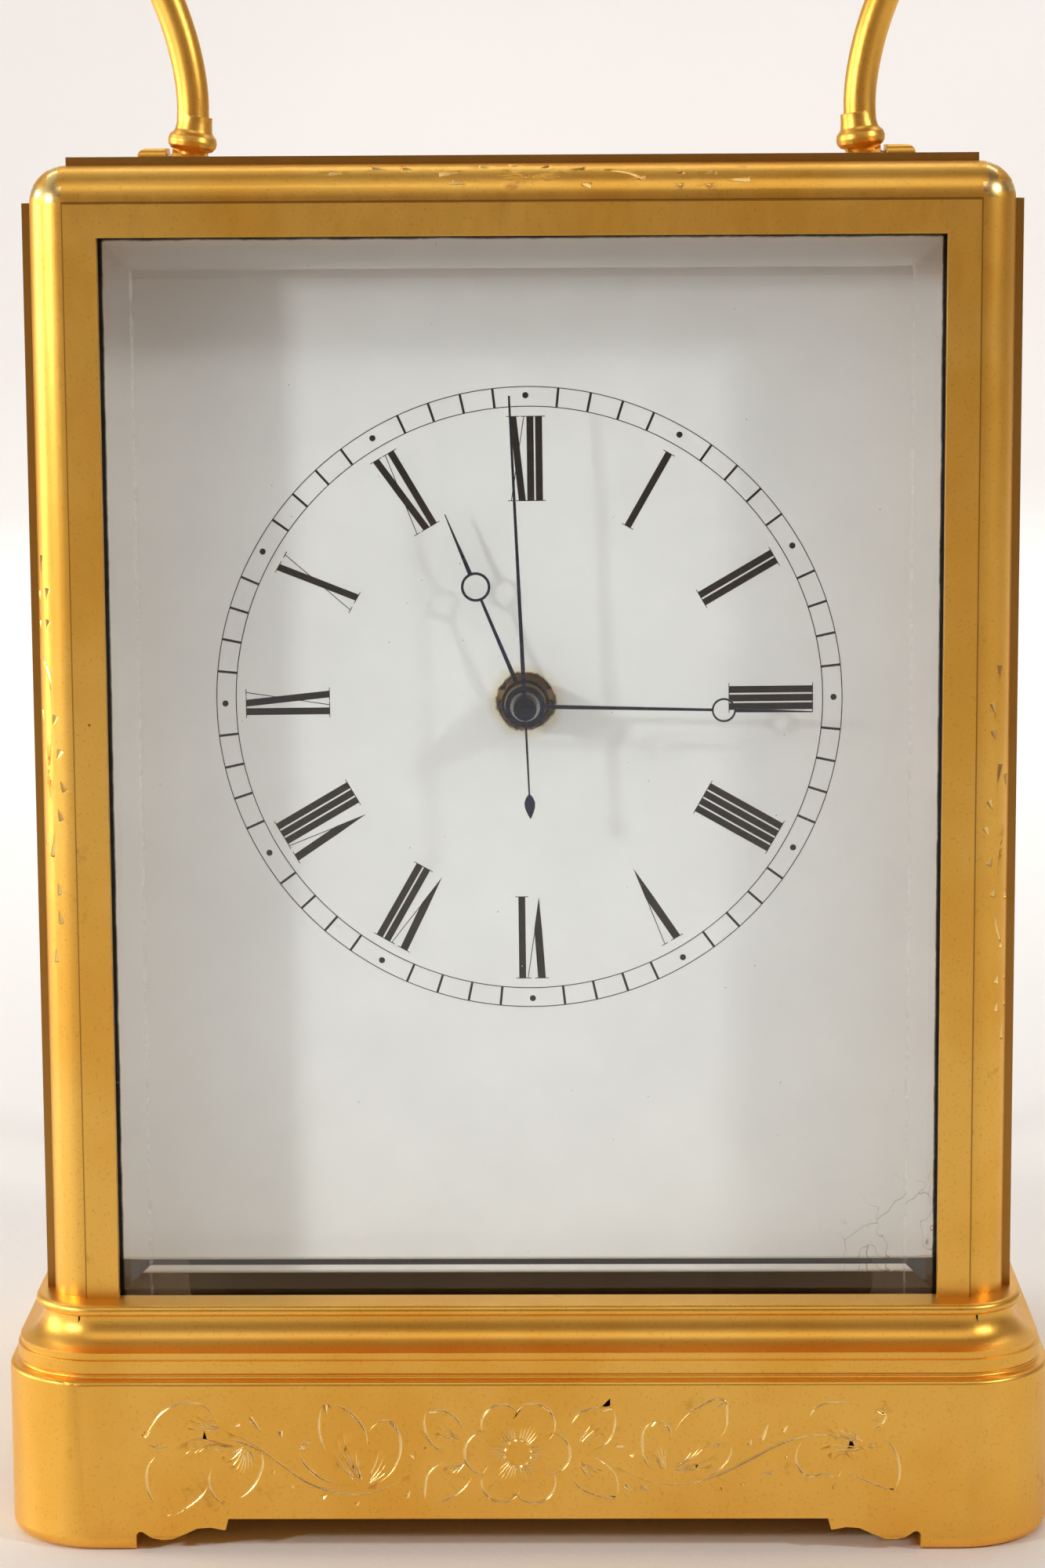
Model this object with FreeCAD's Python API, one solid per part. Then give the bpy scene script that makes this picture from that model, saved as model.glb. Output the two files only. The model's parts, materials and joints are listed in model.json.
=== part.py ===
import FreeCAD, Part
import math
import os
from FreeCAD import Vector

# Carriage clock: one-piece gilt brass case on a separate moulded base, rectangular
# enamel dial with centre seconds, going-barrel movement with a lever platform.
# Millimetres. +Z up, front of the clock faces -Y, origin at the middle of the
# footprint, on the ground.

os.makedirs("parts", exist_ok=True)

# ---- driving sizes: case -----------------------------------------------------------
CASE_HALF_W = 47.8          # middle of the case to a side, without the raised panel
CASE_HALF_D = 40.2          # the same to the front or rear, without the raised panel
CASE_TOP = 136.5            # top of the case, without the raised panel
PANEL_RAISE = 0.8           # how far the flat frames stand proud of the body
EDGE_RADIUS = 3.6           # quarter-round moulding on every edge of the case
FRAME_FLAT = 3.3            # width of the flat frame around each glass
FRAME_LIP = 1.2             # brass in front of a glass
GLASS_THICK = 2.2
GLASS_BEVEL_W = 4.1         # bevel on the glass, part of it under the frame
GLASS_BEVEL_H = 0.95
GLASS_HOLD = 1.0            # how far a glass reaches under its frame
WALL = 4.4                  # case wall, measured from the face of the raised frame
TOP_FRAME_W = 12.0          # width of the brass around the top glass

# ---- driving sizes: base -----------------------------------------------------------
PLATFORM_Z = 24.4           # shelf of the base that the case stands on
PLINTH_TOP = 17.5
APRON_Z = 3.4               # underside of the plinth between the feet
PLINTH_OUT_SIDE = 3.8       # plinth beyond the side panels
PLINTH_OUT_FRONT = 5.7      # plinth beyond the front frame
PLINTH_CORNER = 9.5
PLINTH_WALL = 4.0
FOOT_LENGTH = 13.4          # along the face, from the corner of the plinth
POCKET_DEPTH = 4.0          # recess in the shelf that takes the bottom of the case

# ---- driving sizes: handle ---------------------------------------------------------
HANDLE_FOOT_X = 35.6        # middle of a handle foot
HANDLE_ARM_R = 1.7
HANDLE_HEIGHT = 35.2        # grip axis over the pins
BEAD_R = 2.6
KNUCKLE_W = 3.6
HANDLE_PIN_R = 0.6

# ---- driving sizes: dial and hands -------------------------------------------------
HUB_Z = 83.0                # height of the hands' axis
DIAL_FRONT = 12.5           # dial face behind the front frame
DIAL_THICK = 1.6
DIAL_HALF_W = 43.0
DIAL_BOTTOM = 25.0
DIAL_TOP = 130.6
DIAL_HOLE_R = 2.9

# ---- driving sizes: movement -------------------------------------------------------
PLATE_HALF_W = 36.0
PLATE_TOP = 114.8
PLATE_THICK = 2.2
MOTION_SPACE = 8.4          # dial back to the front plate
PLATE_GAP = 32.0            # between the plates
PILLAR_R = 3.0
ARBOR_R = 1.0
PIVOT_R = 0.5
TRAIN_MODULE = 0.4
PLATFORM_THICK = 1.8

# ---- tooth counts ------------------------------------------------------------------
BARREL_TEETH = 84
INTER_PINION = 12
INTER_TEETH = 70
DRIVE_PINION = 10
DRIVE_TEETH = 80
THIRD_PINION = 10
THIRD_TEETH = 75
SECONDS_PINION = 10
CONTRATE_TEETH = 80
ESCAPE_PINION = 8
ESCAPE_TEETH = 15
CANNON_TEETH = 12
MINUTE_TEETH = 36
MINUTE_PINION = 10
HOUR_TEETH = 40
RATCHET_TEETH = 24

# ---- clearances --------------------------------------------------------------------
RUN = 0.04                  # radial clearance of a pivot or pipe
FIT = 0.02                  # around a fixed part in its seat
GAP = 0.15                  # between faces that must not rub
AIR = 0.3                   # open air between parts that pass each other
OVERRUN = 1.0               # how far a cutting body passes through
WIDE = 300.0                # a cutting body larger than the clock

# ---- derived: case -----------------------------------------------------------------
FACE_X = CASE_HALF_W + PANEL_RAISE
FACE_Y = CASE_HALF_D + PANEL_RAISE
FACE_Z = CASE_TOP + PANEL_RAISE
FRAME_HALF_W = CASE_HALF_W - EDGE_RADIUS
FRAME_HALF_D = CASE_HALF_D - EDGE_RADIUS
FRAME_TOP = CASE_TOP - EDGE_RADIUS
OPEN_HALF_W = FRAME_HALF_W - FRAME_FLAT
OPEN_HALF_D = FRAME_HALF_D - FRAME_FLAT
OPEN_TOP = FRAME_TOP - FRAME_FLAT
CAVITY_X = FACE_X - WALL
CAVITY_Y = FACE_Y - WALL
CAVITY_TOP = FACE_Z - WALL
POCKET_Z = PLATFORM_Z - POCKET_DEPTH
GLASS_FOOT_Z = PLATFORM_Z - GLASS_HOLD
GLASS_X = FACE_X - FRAME_LIP
GLASS_Y = FACE_Y - FRAME_LIP
TONGUE_CORNER = 4.2
TOP_OPEN_X = FRAME_HALF_W - TOP_FRAME_W
TOP_OPEN_Y = FRAME_HALF_D - TOP_FRAME_W

# ---- derived: base -----------------------------------------------------------------
PLINTH_X = FACE_X + PLINTH_OUT_SIDE
PLINTH_Y = FACE_Y + PLINTH_OUT_FRONT
SPINE_R = 1.2
SPINE_X = PLINTH_X - PLINTH_CORNER + SPINE_R
SPINE_Y = PLINTH_Y - PLINTH_CORNER + SPINE_R

# ---- derived: movement depths (y) --------------------------------------------------
DIAL_Y = -FACE_Y + DIAL_FRONT
DIAL_BACK = DIAL_Y + DIAL_THICK
FP_FRONT = DIAL_BACK + MOTION_SPACE
FP_BACK = FP_FRONT + PLATE_THICK
BP_FRONT = FP_BACK + PLATE_GAP
BP_BACK = BP_FRONT + PLATE_THICK
PLATE_BOTTOM = POCKET_Z + FIT


# ---- simple bodies -----------------------------------------------------------------
def box(x0, x1, y0, y1, z0, z1):
    return Part.makeBox(x1 - x0, y1 - y0, z1 - z0, Vector(x0, y0, z0))


def rod(centre, y0, y1, radius):
    """A cylinder along Y at centre (x, z)."""
    return Part.makeCylinder(radius, y1 - y0, Vector(centre[0], y0, centre[1]), Vector(0, 1, 0))


def post(x, y, z0, z1, radius):
    return Part.makeCylinder(radius, z1 - z0, Vector(x, y, z0))


def cross_rod(y, z, x0, x1, radius):
    return Part.makeCylinder(radius, x1 - x0, Vector(x0, y, z), Vector(1, 0, 0))


def tube(centre, y0, y1, outer, inner):
    return rod(centre, y0, y1, outer).cut(rod(centre, y0 - OVERRUN, y1 + OVERRUN, inner))


def join(shapes):
    return shapes[0].multiFuse(shapes[1:]).removeSplitter()


def save(name, shapes):
    body = Part.makeCompound(shapes) if isinstance(shapes, list) else shapes
    body.exportStep("parts/" + name + ".step")


def rounded_wire(half_x, half_y, radius, z):
    """A rectangle with rounded corners, about the origin."""
    points = []
    for sx, sy, start in ((1, 1, 0), (-1, 1, 90), (-1, -1, 180), (1, -1, 270)):
        points.append((sx * (half_x - radius), sy * (half_y - radius), start))
    edges = []
    for i, (cx, cy, start) in enumerate(points):
        edges.append(Part.makeCircle(radius, Vector(cx, cy, z), Vector(0, 0, 1), start, start + 90))
        nx, ny, turn = points[(i + 1) % 4]
        a = math.radians(start + 90)
        b = math.radians(turn)
        p = Vector(cx + radius * math.cos(a), cy + radius * math.sin(a), z)
        q = Vector(nx + radius * math.cos(b), ny + radius * math.sin(b), z)
        edges.append(Part.makeLine(p, q))
    return Part.Wire(edges)


def rounded_block(half_x, half_y, radius, z0, z1):
    return Part.Face(rounded_wire(half_x, half_y, radius, z0)).extrude(Vector(0, 0, z1 - z0))


def plate_from(points, y0, y1):
    """A flat piece cut to an outline of (x, z) points, between two depths."""
    ring = [Vector(x, y0, z) for x, z in points]
    ring.append(ring[0])
    return Part.Face(Part.makePolygon(ring)).extrude(Vector(0, y1 - y0, 0))


def sheet_from(points, z0, z1):
    """A flat piece cut to an outline of (x, y) points, between two heights."""
    ring = [Vector(x, y, z0) for x, y in points]
    ring.append(ring[0])
    return Part.Face(Part.makePolygon(ring)).extrude(Vector(0, 0, z1 - z0))


def towards(centre, angle, distance):
    a = math.radians(angle)
    return (centre[0] + distance * math.cos(a), centre[1] + distance * math.sin(a))


def heading(a, b):
    return math.degrees(math.atan2(b[1] - a[1], b[0] - a[0]))


# ---- gears -------------------------------------------------------------------------
WHEEL_THICKNESS = 0.42      # tooth thickness as a share of the pitch
WHEEL_ADDENDUM = 1.0        # in modules
WHEEL_DEDENDUM = 1.05
LEAF_THICKNESS = 0.33
LEAF_ADDENDUM = 0.6
LEAF_DEDENDUM = 1.35
WHEEL_TIP = ((0.0, 1.0), (0.45, 0.78), (1.0, 0.22))
LEAF_TIP = ((0.0, 1.0), (0.6, 0.8), (1.0, 0.35))


def gear_outline(centre, teeth, module, phase, share, addendum, dedendum, tip):
    """Outline of a gear; phase is the angle of the middle of one tooth."""
    radius = teeth * module / 2
    half = math.pi * share / teeth
    root = radius - dedendum * module
    steps = [(root, half * TOOTH_ROOT)]
    steps += [(radius + rise * addendum * module, half * keep) for rise, keep in tip]
    points = []
    for i in range(teeth):
        middle = math.radians(phase) + 2 * math.pi * i / teeth
        flank = [(r, middle - h * radius / r) for r, h in steps]
        flank += [(r, middle + h * radius / r) for r, h in reversed(steps)]
        points += [(centre[0] + r * math.cos(a), centre[1] + r * math.sin(a)) for r, a in flank]
    return points


def wheel_outline(centre, teeth, module, phase=0.0):
    return gear_outline(centre, teeth, module, phase, WHEEL_THICKNESS, WHEEL_ADDENDUM,
                        WHEEL_DEDENDUM, WHEEL_TIP)


def leaf_outline(centre, teeth, module, phase):
    return gear_outline(centre, teeth, module, phase, LEAF_THICKNESS, LEAF_ADDENDUM,
                        LEAF_DEDENDUM, LEAF_TIP)


def meshed_phase(wheel, wheel_teeth, pinion, teeth):
    """Phase of a pinion whose gap faces the wheel tooth nearest the line of centres."""
    line = heading(wheel, pinion)
    pitch = 360.0 / wheel_teeth
    off = (line - round(line / pitch) * pitch) / pitch
    return line + 180.0 + (0.5 + off) * 360.0 / teeth


def crossings(centre, y0, y1, outer, inner, arms, arm_width, turn=0.0):
    """The openings between the spokes of a wheel."""
    ring = tube(centre, y0 - OVERRUN, y1 + OVERRUN, outer, inner)
    bars = []
    for i in range(arms):
        bar = box(0, outer + OVERRUN, y0 - 2 * OVERRUN, y1 + 2 * OVERRUN, -arm_width / 2, arm_width / 2)
        bar.rotate(Vector(0, 0, 0), Vector(0, -1, 0), turn + 360.0 * i / arms)
        bar.translate(Vector(centre[0], 0, centre[1]))
        bars.append(bar)
    return ring.cut(bars)


RIM_SHARE = 0.86            # inner edge of a wheel's rim over its root radius
HUB_SHARE = 0.24
SPOKE_SHARE = 0.11
TOOTH_ROOT = 0.92           # width of a tooth at its root over its width at the pitch line


def crossed_wheel(centre, teeth, module, y0, y1, bore, arms=5):
    radius = teeth * module / 2 - WHEEL_DEDENDUM * module
    body = plate_from(wheel_outline(centre, teeth, module), y0, y1)
    windows = crossings(centre, y0, y1, radius * RIM_SHARE, radius * HUB_SHARE, arms, radius * SPOKE_SHARE)
    return body.cut([windows, rod(centre, y0 - OVERRUN, y1 + OVERRUN, bore)])


def pinion_at(wheel, wheel_teeth, centre, teeth, module, y0, y1):
    phase = meshed_phase(wheel, wheel_teeth, centre, teeth)
    return plate_from(leaf_outline(centre, teeth, module, phase), y0, y1)


# ---- places of the arbors, as (x, z) -----------------------------------------------
def centre_distance(teeth_a, teeth_b, module):
    return (teeth_a + teeth_b) * module / 2


HUB = (0.0, HUB_Z)
THIRD_HEADING = -105.0      # directions from one arbor to the next, degrees from +X towards +Z
DRIVE_HEADING = -50.0
INTER_HEADING = -35.0
SETTER_HEADING = 20.0
THIRD_REACH = centre_distance(THIRD_TEETH, SECONDS_PINION, TRAIN_MODULE)
CONTRATE_RISE = 20.0
THIRD = (-math.sqrt(THIRD_REACH ** 2 - (CONTRATE_RISE / 2) ** 2), HUB_Z + CONTRATE_RISE / 2)
CONTRATE = (0.0, HUB_Z + CONTRATE_RISE)
DRIVE = towards(THIRD, THIRD_HEADING, centre_distance(DRIVE_TEETH, THIRD_PINION, TRAIN_MODULE))
INTER_MODULE = 0.5
INTER = towards(DRIVE, DRIVE_HEADING, centre_distance(INTER_TEETH, DRIVE_PINION, INTER_MODULE))
BARREL_MODULE = 0.45
BARREL = towards(INTER, INTER_HEADING, centre_distance(BARREL_TEETH, INTER_PINION, BARREL_MODULE))
MOTION_MODULE = 0.5
MOTION_REACH = centre_distance(MINUTE_TEETH, CANNON_TEETH, MOTION_MODULE)
HOUR_MODULE = 2 * MOTION_REACH / (MINUTE_PINION + HOUR_TEETH)


def motion_stud():
    """Where the minute wheel meshes both with the cannon and with the drive arbor."""
    half = math.dist(HUB, DRIVE) / 2
    middle = ((HUB[0] + DRIVE[0]) / 2, (HUB[1] + DRIVE[1]) / 2)
    away = math.sqrt(MOTION_REACH ** 2 - half ** 2)
    return towards(middle, heading(HUB, DRIVE) + 90.0, away)


STUD = motion_stud()
SETTER = towards(STUD, SETTER_HEADING, MOTION_REACH)

# ---- depths of the wheels ----------------------------------------------------------
INTER_WHEEL_Y = FP_BACK + 2.2
DRUM_Y0 = FP_BACK + 5.0
GREAT_Y1 = DRUM_Y0 + 22.5
GREAT_THICK = 2.0
DRIVE_WHEEL_Y = FP_BACK + 20.0
THIRD_WHEEL_Y = FP_BACK + 9.0
WHEEL_THICK = 1.1
LEAF_MARGIN = 0.5           # how far a pinion passes its wheel on each side
CONTRATE_Y = FP_BACK + 14.0
MOTION_Y = FP_FRONT - 2.1
MOTION_THICK = 1.0
HOUR_Y = FP_FRONT - 4.9
HOUR_THICK = 0.9
MINUTE_PIPE_R = 1.5
HOUR_PIPE_R = 2.1
TUBE_R = 0.95
SECONDS_R = 0.45

# ---- hands -------------------------------------------------------------------------
HAND_THICK = 0.3
HOUR_HAND_Y = DIAL_Y - 2.1
MINUTE_HAND_Y = DIAL_Y - 4.0
SECONDS_HAND_Y = DIAL_Y - 5.9
HOUR_ANGLE = 337.4          # clockwise from twelve
MINUTE_ANGLE = 91.3
SECONDS_ANGLE = 357.4
HOUR_RING_AT = 12.75
HOUR_RING_R = 1.47
HOUR_TIP_AT = 20.6
HOUR_COLLET_R = 2.4
MINUTE_RING_AT = 19.8
MINUTE_RING_R = 1.2
MINUTE_TIP_AT = 28.6
MINUTE_COLLET_R = 2.0
SECONDS_TIP_AT = 31.0
SECONDS_COLLET_R = 1.15
LEAF_FROM = 8.6
LEAF_TO = 11.1
HOUR_RING_W = 0.26
HOUR_STEM_W = 0.44
MINUTE_RING_W = 0.18
MINUTE_STEM_W = 0.4
STEM_NARROWS = 0.62         # width of a stem at its ring over its width at the collet
TIP_NARROWS = 0.22
STEM_START = 0.7            # where a stem leaves its collet, as a share of the collet's radius
NEEDLE_START = 0.6
NEEDLE = ((0.2, NEEDLE_START), (0.2, 4.0), (0.15, 16.0), (0.1, SECONDS_TIP_AT))
TAIL_WIDTHS = (0.24, 0.16)
TAIL_OVERLAP = 0.1          # how far the tail runs into its leaf
LEAF = ((0.08, 0.0), (0.36, 0.35), (0.54, 0.85), (0.5, 1.35), (0.28, 1.95))
SECONDS_COLLET_FRONT = 0.3
SECONDS_COLLET_BACK = 0.9


def blade(points, y0, y1, angle):
    """A flat hand; points are (across, outwards), turned clockwise from twelve."""
    shape = plate_from([(HUB[0] + across, HUB[1] + out) for across, out in points], y0, y1)
    shape.rotate(Vector(HUB[0], 0, HUB[1]), Vector(0, 1, 0), angle)
    return shape


def tapered(from_at, to_at, from_w, to_w):
    return [(-from_w / 2, from_at), (from_w / 2, from_at), (to_w / 2, to_at), (-to_w / 2, to_at)]


def moon_hand(y, collet, bore, ring_at, ring_r, ring_w, stem_w, tip_at, angle):
    """A hand with an open ring near its tip, on a flat collet."""
    y1 = y + HAND_THICK
    ring_centre = towards(HUB, 90.0 - angle, ring_at)
    ring = tube(ring_centre, y, y1, ring_r, ring_r - ring_w)
    stem = blade(tapered(collet * STEM_START, ring_at - ring_r + ring_w / 2, stem_w, stem_w * STEM_NARROWS),
                 y, y1, angle)
    tip = blade(tapered(ring_at + ring_r - ring_w / 2, tip_at, stem_w, stem_w * TIP_NARROWS), y, y1, angle)
    disc = rod(HUB, y, y1 + HAND_THICK, collet)
    hand = join([disc, ring, stem, tip])
    return hand.cut(rod(HUB, y - OVERRUN, y1 + 2 * OVERRUN, bore))


def hour_hand():
    return moon_hand(HOUR_HAND_Y, HOUR_COLLET_R, HOUR_PIPE_R, HOUR_RING_AT, HOUR_RING_R, HOUR_RING_W,
                     HOUR_STEM_W, HOUR_TIP_AT, HOUR_ANGLE)


def minute_hand():
    return moon_hand(MINUTE_HAND_Y, MINUTE_COLLET_R, MINUTE_PIPE_R, MINUTE_RING_AT, MINUTE_RING_R,
                     MINUTE_RING_W, MINUTE_STEM_W, MINUTE_TIP_AT, MINUTE_ANGLE)


def both_sides(points):
    """An outline from its right-hand half, repeated on the left."""
    return list(points) + [(-across, out) for across, out in reversed(points)]


def seconds_hand():
    y = SECONDS_HAND_Y
    y1 = y + HAND_THICK
    collet = rod(HUB, y - SECONDS_COLLET_FRONT, y1 + SECONDS_COLLET_BACK, SECONDS_COLLET_R)
    needle = blade(both_sides(NEEDLE), y, y1, SECONDS_ANGLE)
    tail_points = tapered(NEEDLE_START, LEAF_FROM + TAIL_OVERLAP, *TAIL_WIDTHS)
    tail = blade(tail_points, y, y1, SECONDS_ANGLE + 180.0)
    half = [(across, LEAF_FROM + out) for across, out in LEAF]
    leaf = blade(half + [(0.0, LEAF_TO)] + both_sides(half)[len(half):], y, y1, SECONDS_ANGLE + 180.0)
    hand = join([collet, needle, tail, leaf])
    return hand.cut(rod(HUB, y1, y1 + 2 * OVERRUN, SECONDS_R))


# ---- base --------------------------------------------------------------------------
# The moulding in section. Each point is (outwards from the plinth face, height).
BEAD_RADIUS = 0.56          # half-round bead under the shelf
BEAD_MIDDLE = -2.75
NECK = (-3.55, PLATFORM_Z - 2 * BEAD_RADIUS - 0.05)
COVE_MIDDLE = (-2.95, 21.25)
COVE_FOOT = (-1.4, 20.2)
FILLET_STEPS = ((-1.1, 20.1), (-1.1, 19.45), (-0.86, 19.35), (-0.86, 18.1))
BAND_HOLLOW = (-0.98, 17.78)
BAND_FOOT = (-0.72, PLINTH_TOP + 0.06)
PLINTH_ROUND = ((-0.5, PLINTH_TOP), (-0.14, PLINTH_TOP - 0.14), (0.0, PLINTH_TOP - 0.5))
PLINTH_HEEL = ((0.0, 1.6), (-0.32, 0.42), (-1.2, 0.0))


def profile_point(place):
    return Vector(PLINTH_X + place[0], 0, place[1])


def profile_line(start, end):
    return Part.makeLine(profile_point(start), profile_point(end))


def profile_arc(start, middle, end):
    return Part.Arc(profile_point(start), profile_point(middle), profile_point(end)).toShape()


def base_profile():
    """Closed section of the base, from the spine outwards and up over the mouldings to the shelf."""
    bead_out = BEAD_MIDDLE - BEAD_RADIUS
    bead_low = (bead_out, NECK[1])
    bead_mid = (BEAD_MIDDLE, PLATFORM_Z - BEAD_RADIUS)
    bead_high = (bead_out, PLATFORM_Z)
    spine_low = (SPINE_X - PLINTH_X, 0.0)
    spine_high = (SPINE_X - PLINTH_X, PLATFORM_Z)
    edges = [profile_line(spine_low, PLINTH_HEEL[2]), profile_arc(*reversed(PLINTH_HEEL)),
             profile_line(PLINTH_HEEL[0], PLINTH_ROUND[2]), profile_arc(*reversed(PLINTH_ROUND)),
             profile_line(PLINTH_ROUND[0], BAND_FOOT), profile_arc(BAND_FOOT, BAND_HOLLOW, FILLET_STEPS[3])]
    for upper, lower in ((2, 3), (1, 2), (0, 1)):
        edges.append(profile_line(FILLET_STEPS[lower], FILLET_STEPS[upper]))
    edges += [profile_line(FILLET_STEPS[0], COVE_FOOT), profile_arc(COVE_FOOT, COVE_MIDDLE, NECK),
              profile_line(NECK, bead_low), profile_arc(bead_low, bead_mid, bead_high),
              profile_line(bead_high, spine_high), profile_line(spine_high, spine_low)]
    return Part.Wire(edges)


def swept_moulding():
    """The profile carried along four straight sides and turned about four corners."""
    face = Part.Face(base_profile())
    flat_x = SPINE_X - SPINE_R
    flat_y = SPINE_Y - SPINE_R
    pieces = []
    side = face.extrude(Vector(0, 2 * flat_y, 0))
    side.translate(Vector(0, -flat_y, 0))
    pieces.append(side)
    other = side.copy()
    other.rotate(Vector(0, 0, 0), Vector(0, 0, 1), 180)
    pieces.append(other)
    for turn in (90, 270):
        front = face.copy()
        front.translate(Vector(-(flat_x - flat_y), 0, 0))
        front = front.extrude(Vector(0, 2 * flat_x, 0))
        front.translate(Vector(0, -flat_x, 0))
        front.rotate(Vector(0, 0, 0), Vector(0, 0, 1), turn)
        pieces.append(front)
    for sx, sy, turn in ((1, 1, 0), (-1, 1, 90), (-1, -1, 180), (1, -1, 270)):
        corner_face = face.copy()
        corner_face.translate(Vector(-flat_x, 0, 0))
        corner_face.rotate(Vector(0, 0, 0), Vector(0, 0, 1), turn)
        corner = corner_face.revolve(Vector(0, 0, 0), Vector(0, 0, 1), 90)
        corner.translate(Vector(sx * flat_x, sy * flat_y, 0))
        pieces.append(corner)
    pieces.append(rounded_block(SPINE_X, SPINE_Y, SPINE_R, 0, PLATFORM_Z))
    return join(pieces)


# Bracket of a foot: (back from the foot's inner end, height of the apron's edge).
FOOT_BRACKET = ((0.0, 1.75), (0.25, 2.05), (0.6, 2.05), (1.5, 1.45), (2.5, 1.25), (3.6, 1.3), (4.8, 1.8),
                (6.1, 2.4), (7.4, 2.5), (8.6, 2.25), (8.9, 2.25), (9.2, APRON_Z))


def foot_outline(half):
    """The space under the apron between two bracket feet, as (along, height)."""
    foot = half - FOOT_LENGTH
    right = [(foot, -OVERRUN)] + [(foot - back, z) for back, z in FOOT_BRACKET]
    return right + [(-x, z) for x, z in reversed(right)]


def base_part():
    body = swept_moulding()
    hollow = rounded_block(PLINTH_X - PLINTH_WALL, PLINTH_Y - PLINTH_WALL, PLINTH_CORNER - PLINTH_WALL,
                           -OVERRUN, POCKET_Z - BASE_DECK)
    pocket = rounded_block(GLASS_X + FIT, GLASS_Y + FIT, TONGUE_CORNER, POCKET_Z, PLATFORM_Z + OVERRUN)
    front_cut = plate_from(foot_outline(PLINTH_X), -WIDE, WIDE)
    side_cut = plate_from(foot_outline(PLINTH_Y), -WIDE, WIDE)
    side_cut.rotate(Vector(0, 0, 0), Vector(0, 0, 1), 90)
    cuts = [hollow, pocket, front_cut, side_cut]
    for x, y in CASE_SCREWS:
        cuts.append(post(x, y, 0, POCKET_Z + OVERRUN, SCREW_R + FIT))
    for x, y in MOVEMENT_SCREWS:
        cuts.append(post(x, y, 0, POCKET_Z + OVERRUN, SCREW_R + FIT))
    return body.cut(cuts)


BASE_DECK = 3.2             # brass between the pocket and the hollow beneath
SCREW_R = 1.25
SCREW_HEAD_R = 2.6
SCREW_HEAD_H = 1.6
DRIVER_SLOT = 0.6           # width of a large screw's slot, and its depth
CASE_SCREWS = [(sx * (CAVITY_X + 0.3), sy * (CAVITY_Y + 0.1)) for sx in (1, -1) for sy in (1, -1)]
PILLAR_X = 29.0
PILLAR_LOW = 27.5
PILLAR_HIGH = 108.5
MOVEMENT_SCREWS = [(sx * PILLAR_X, (FP_BACK + BP_FRONT) / 2) for sx in (1, -1)]


def long_screw(x, y, z0, z1):
    """A screw from beneath, its head under z0, with a driver slot."""
    head = post(x, y, z0 - SCREW_HEAD_H, z0, SCREW_HEAD_R)
    slot = box(x - WIDE, x + WIDE, y - DRIVER_SLOT / 2, y + DRIVER_SLOT / 2, z0 - SCREW_HEAD_H - OVERRUN,
               z0 - SCREW_HEAD_H + DRIVER_SLOT)
    return join([head, post(x, y, z0, z1, SCREW_R)]).cut(slot)


# ---- case --------------------------------------------------------------------------
DOOR_THICK = 3.2
DOOR_STILE = 6.2
DOOR_GAP = 0.2
DOOR_SILL = 1.6
DOOR_FLANGE = 1.1
DOOR_PIN_R = 0.7
DOOR_PIN_L = 4.0
DOOR_HALF_W = FRAME_HALF_W - 0.2
DOOR_Z0 = PLATFORM_Z + DOOR_SILL + DOOR_GAP
DOOR_Z1 = FRAME_TOP - DOOR_SILL - DOOR_GAP
DOOR_Y1 = FACE_Y
DOOR_Y0 = DOOR_Y1 - DOOR_THICK
DOOR_AXIS = (DOOR_HALF_W - DOOR_THICK / 2, DOOR_Y1 - DOOR_THICK / 2)
REAR_OPEN_X = DOOR_HALF_W - 2.6
DOOR_REBATE = 2.2           # case behind the door, above and below the way through
DOOR_PIN_LOW_SEAT = DOOR_SILL - 0.3
DOOR_PIN_HIGH_SEAT = 1.2
LATCH_X = -(REAR_OPEN_X - 1.1)
LATCH_Z = HUB_Z
HANDLE_AXIS_Z = FACE_Z - 0.2
WELL_DEPTH = 1.3
WELL_HALF_Y = 4.4
LUG_W = 3.0
LUG_GAP = 0.55
LUG_H = 1.0
KNUCKLE_R = 1.35
LUG_X = HANDLE_FOOT_X + KNUCKLE_W / 2 + LUG_GAP


def case_shell():
    """Outer body: quarter-round edges with flat frames standing proud on each face."""
    body = box(-CASE_HALF_W, CASE_HALF_W, -CASE_HALF_D, CASE_HALF_D, PLATFORM_Z - EDGE_RADIUS * 2, CASE_TOP)
    rounded = [e for e in body.Edges if max(v.Z for v in e.Vertexes) > PLATFORM_Z]
    body = body.makeFillet(EDGE_RADIUS, rounded)
    body = body.common(box(-WIDE, WIDE, -WIDE, WIDE, PLATFORM_Z, WIDE))
    front = box(-FRAME_HALF_W, FRAME_HALF_W, -FACE_Y, FACE_Y, PLATFORM_Z, FRAME_TOP)
    sides = box(-FACE_X, FACE_X, -FRAME_HALF_D, FRAME_HALF_D, PLATFORM_Z, FRAME_TOP)
    top = box(-FRAME_HALF_W, FRAME_HALF_W, -FRAME_HALF_D, FRAME_HALF_D, PLATFORM_Z, FACE_Z)
    tongue = rounded_block(GLASS_X, GLASS_Y, TONGUE_CORNER, POCKET_Z, PLATFORM_Z)
    return join([body, front, sides, top, tongue])


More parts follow.
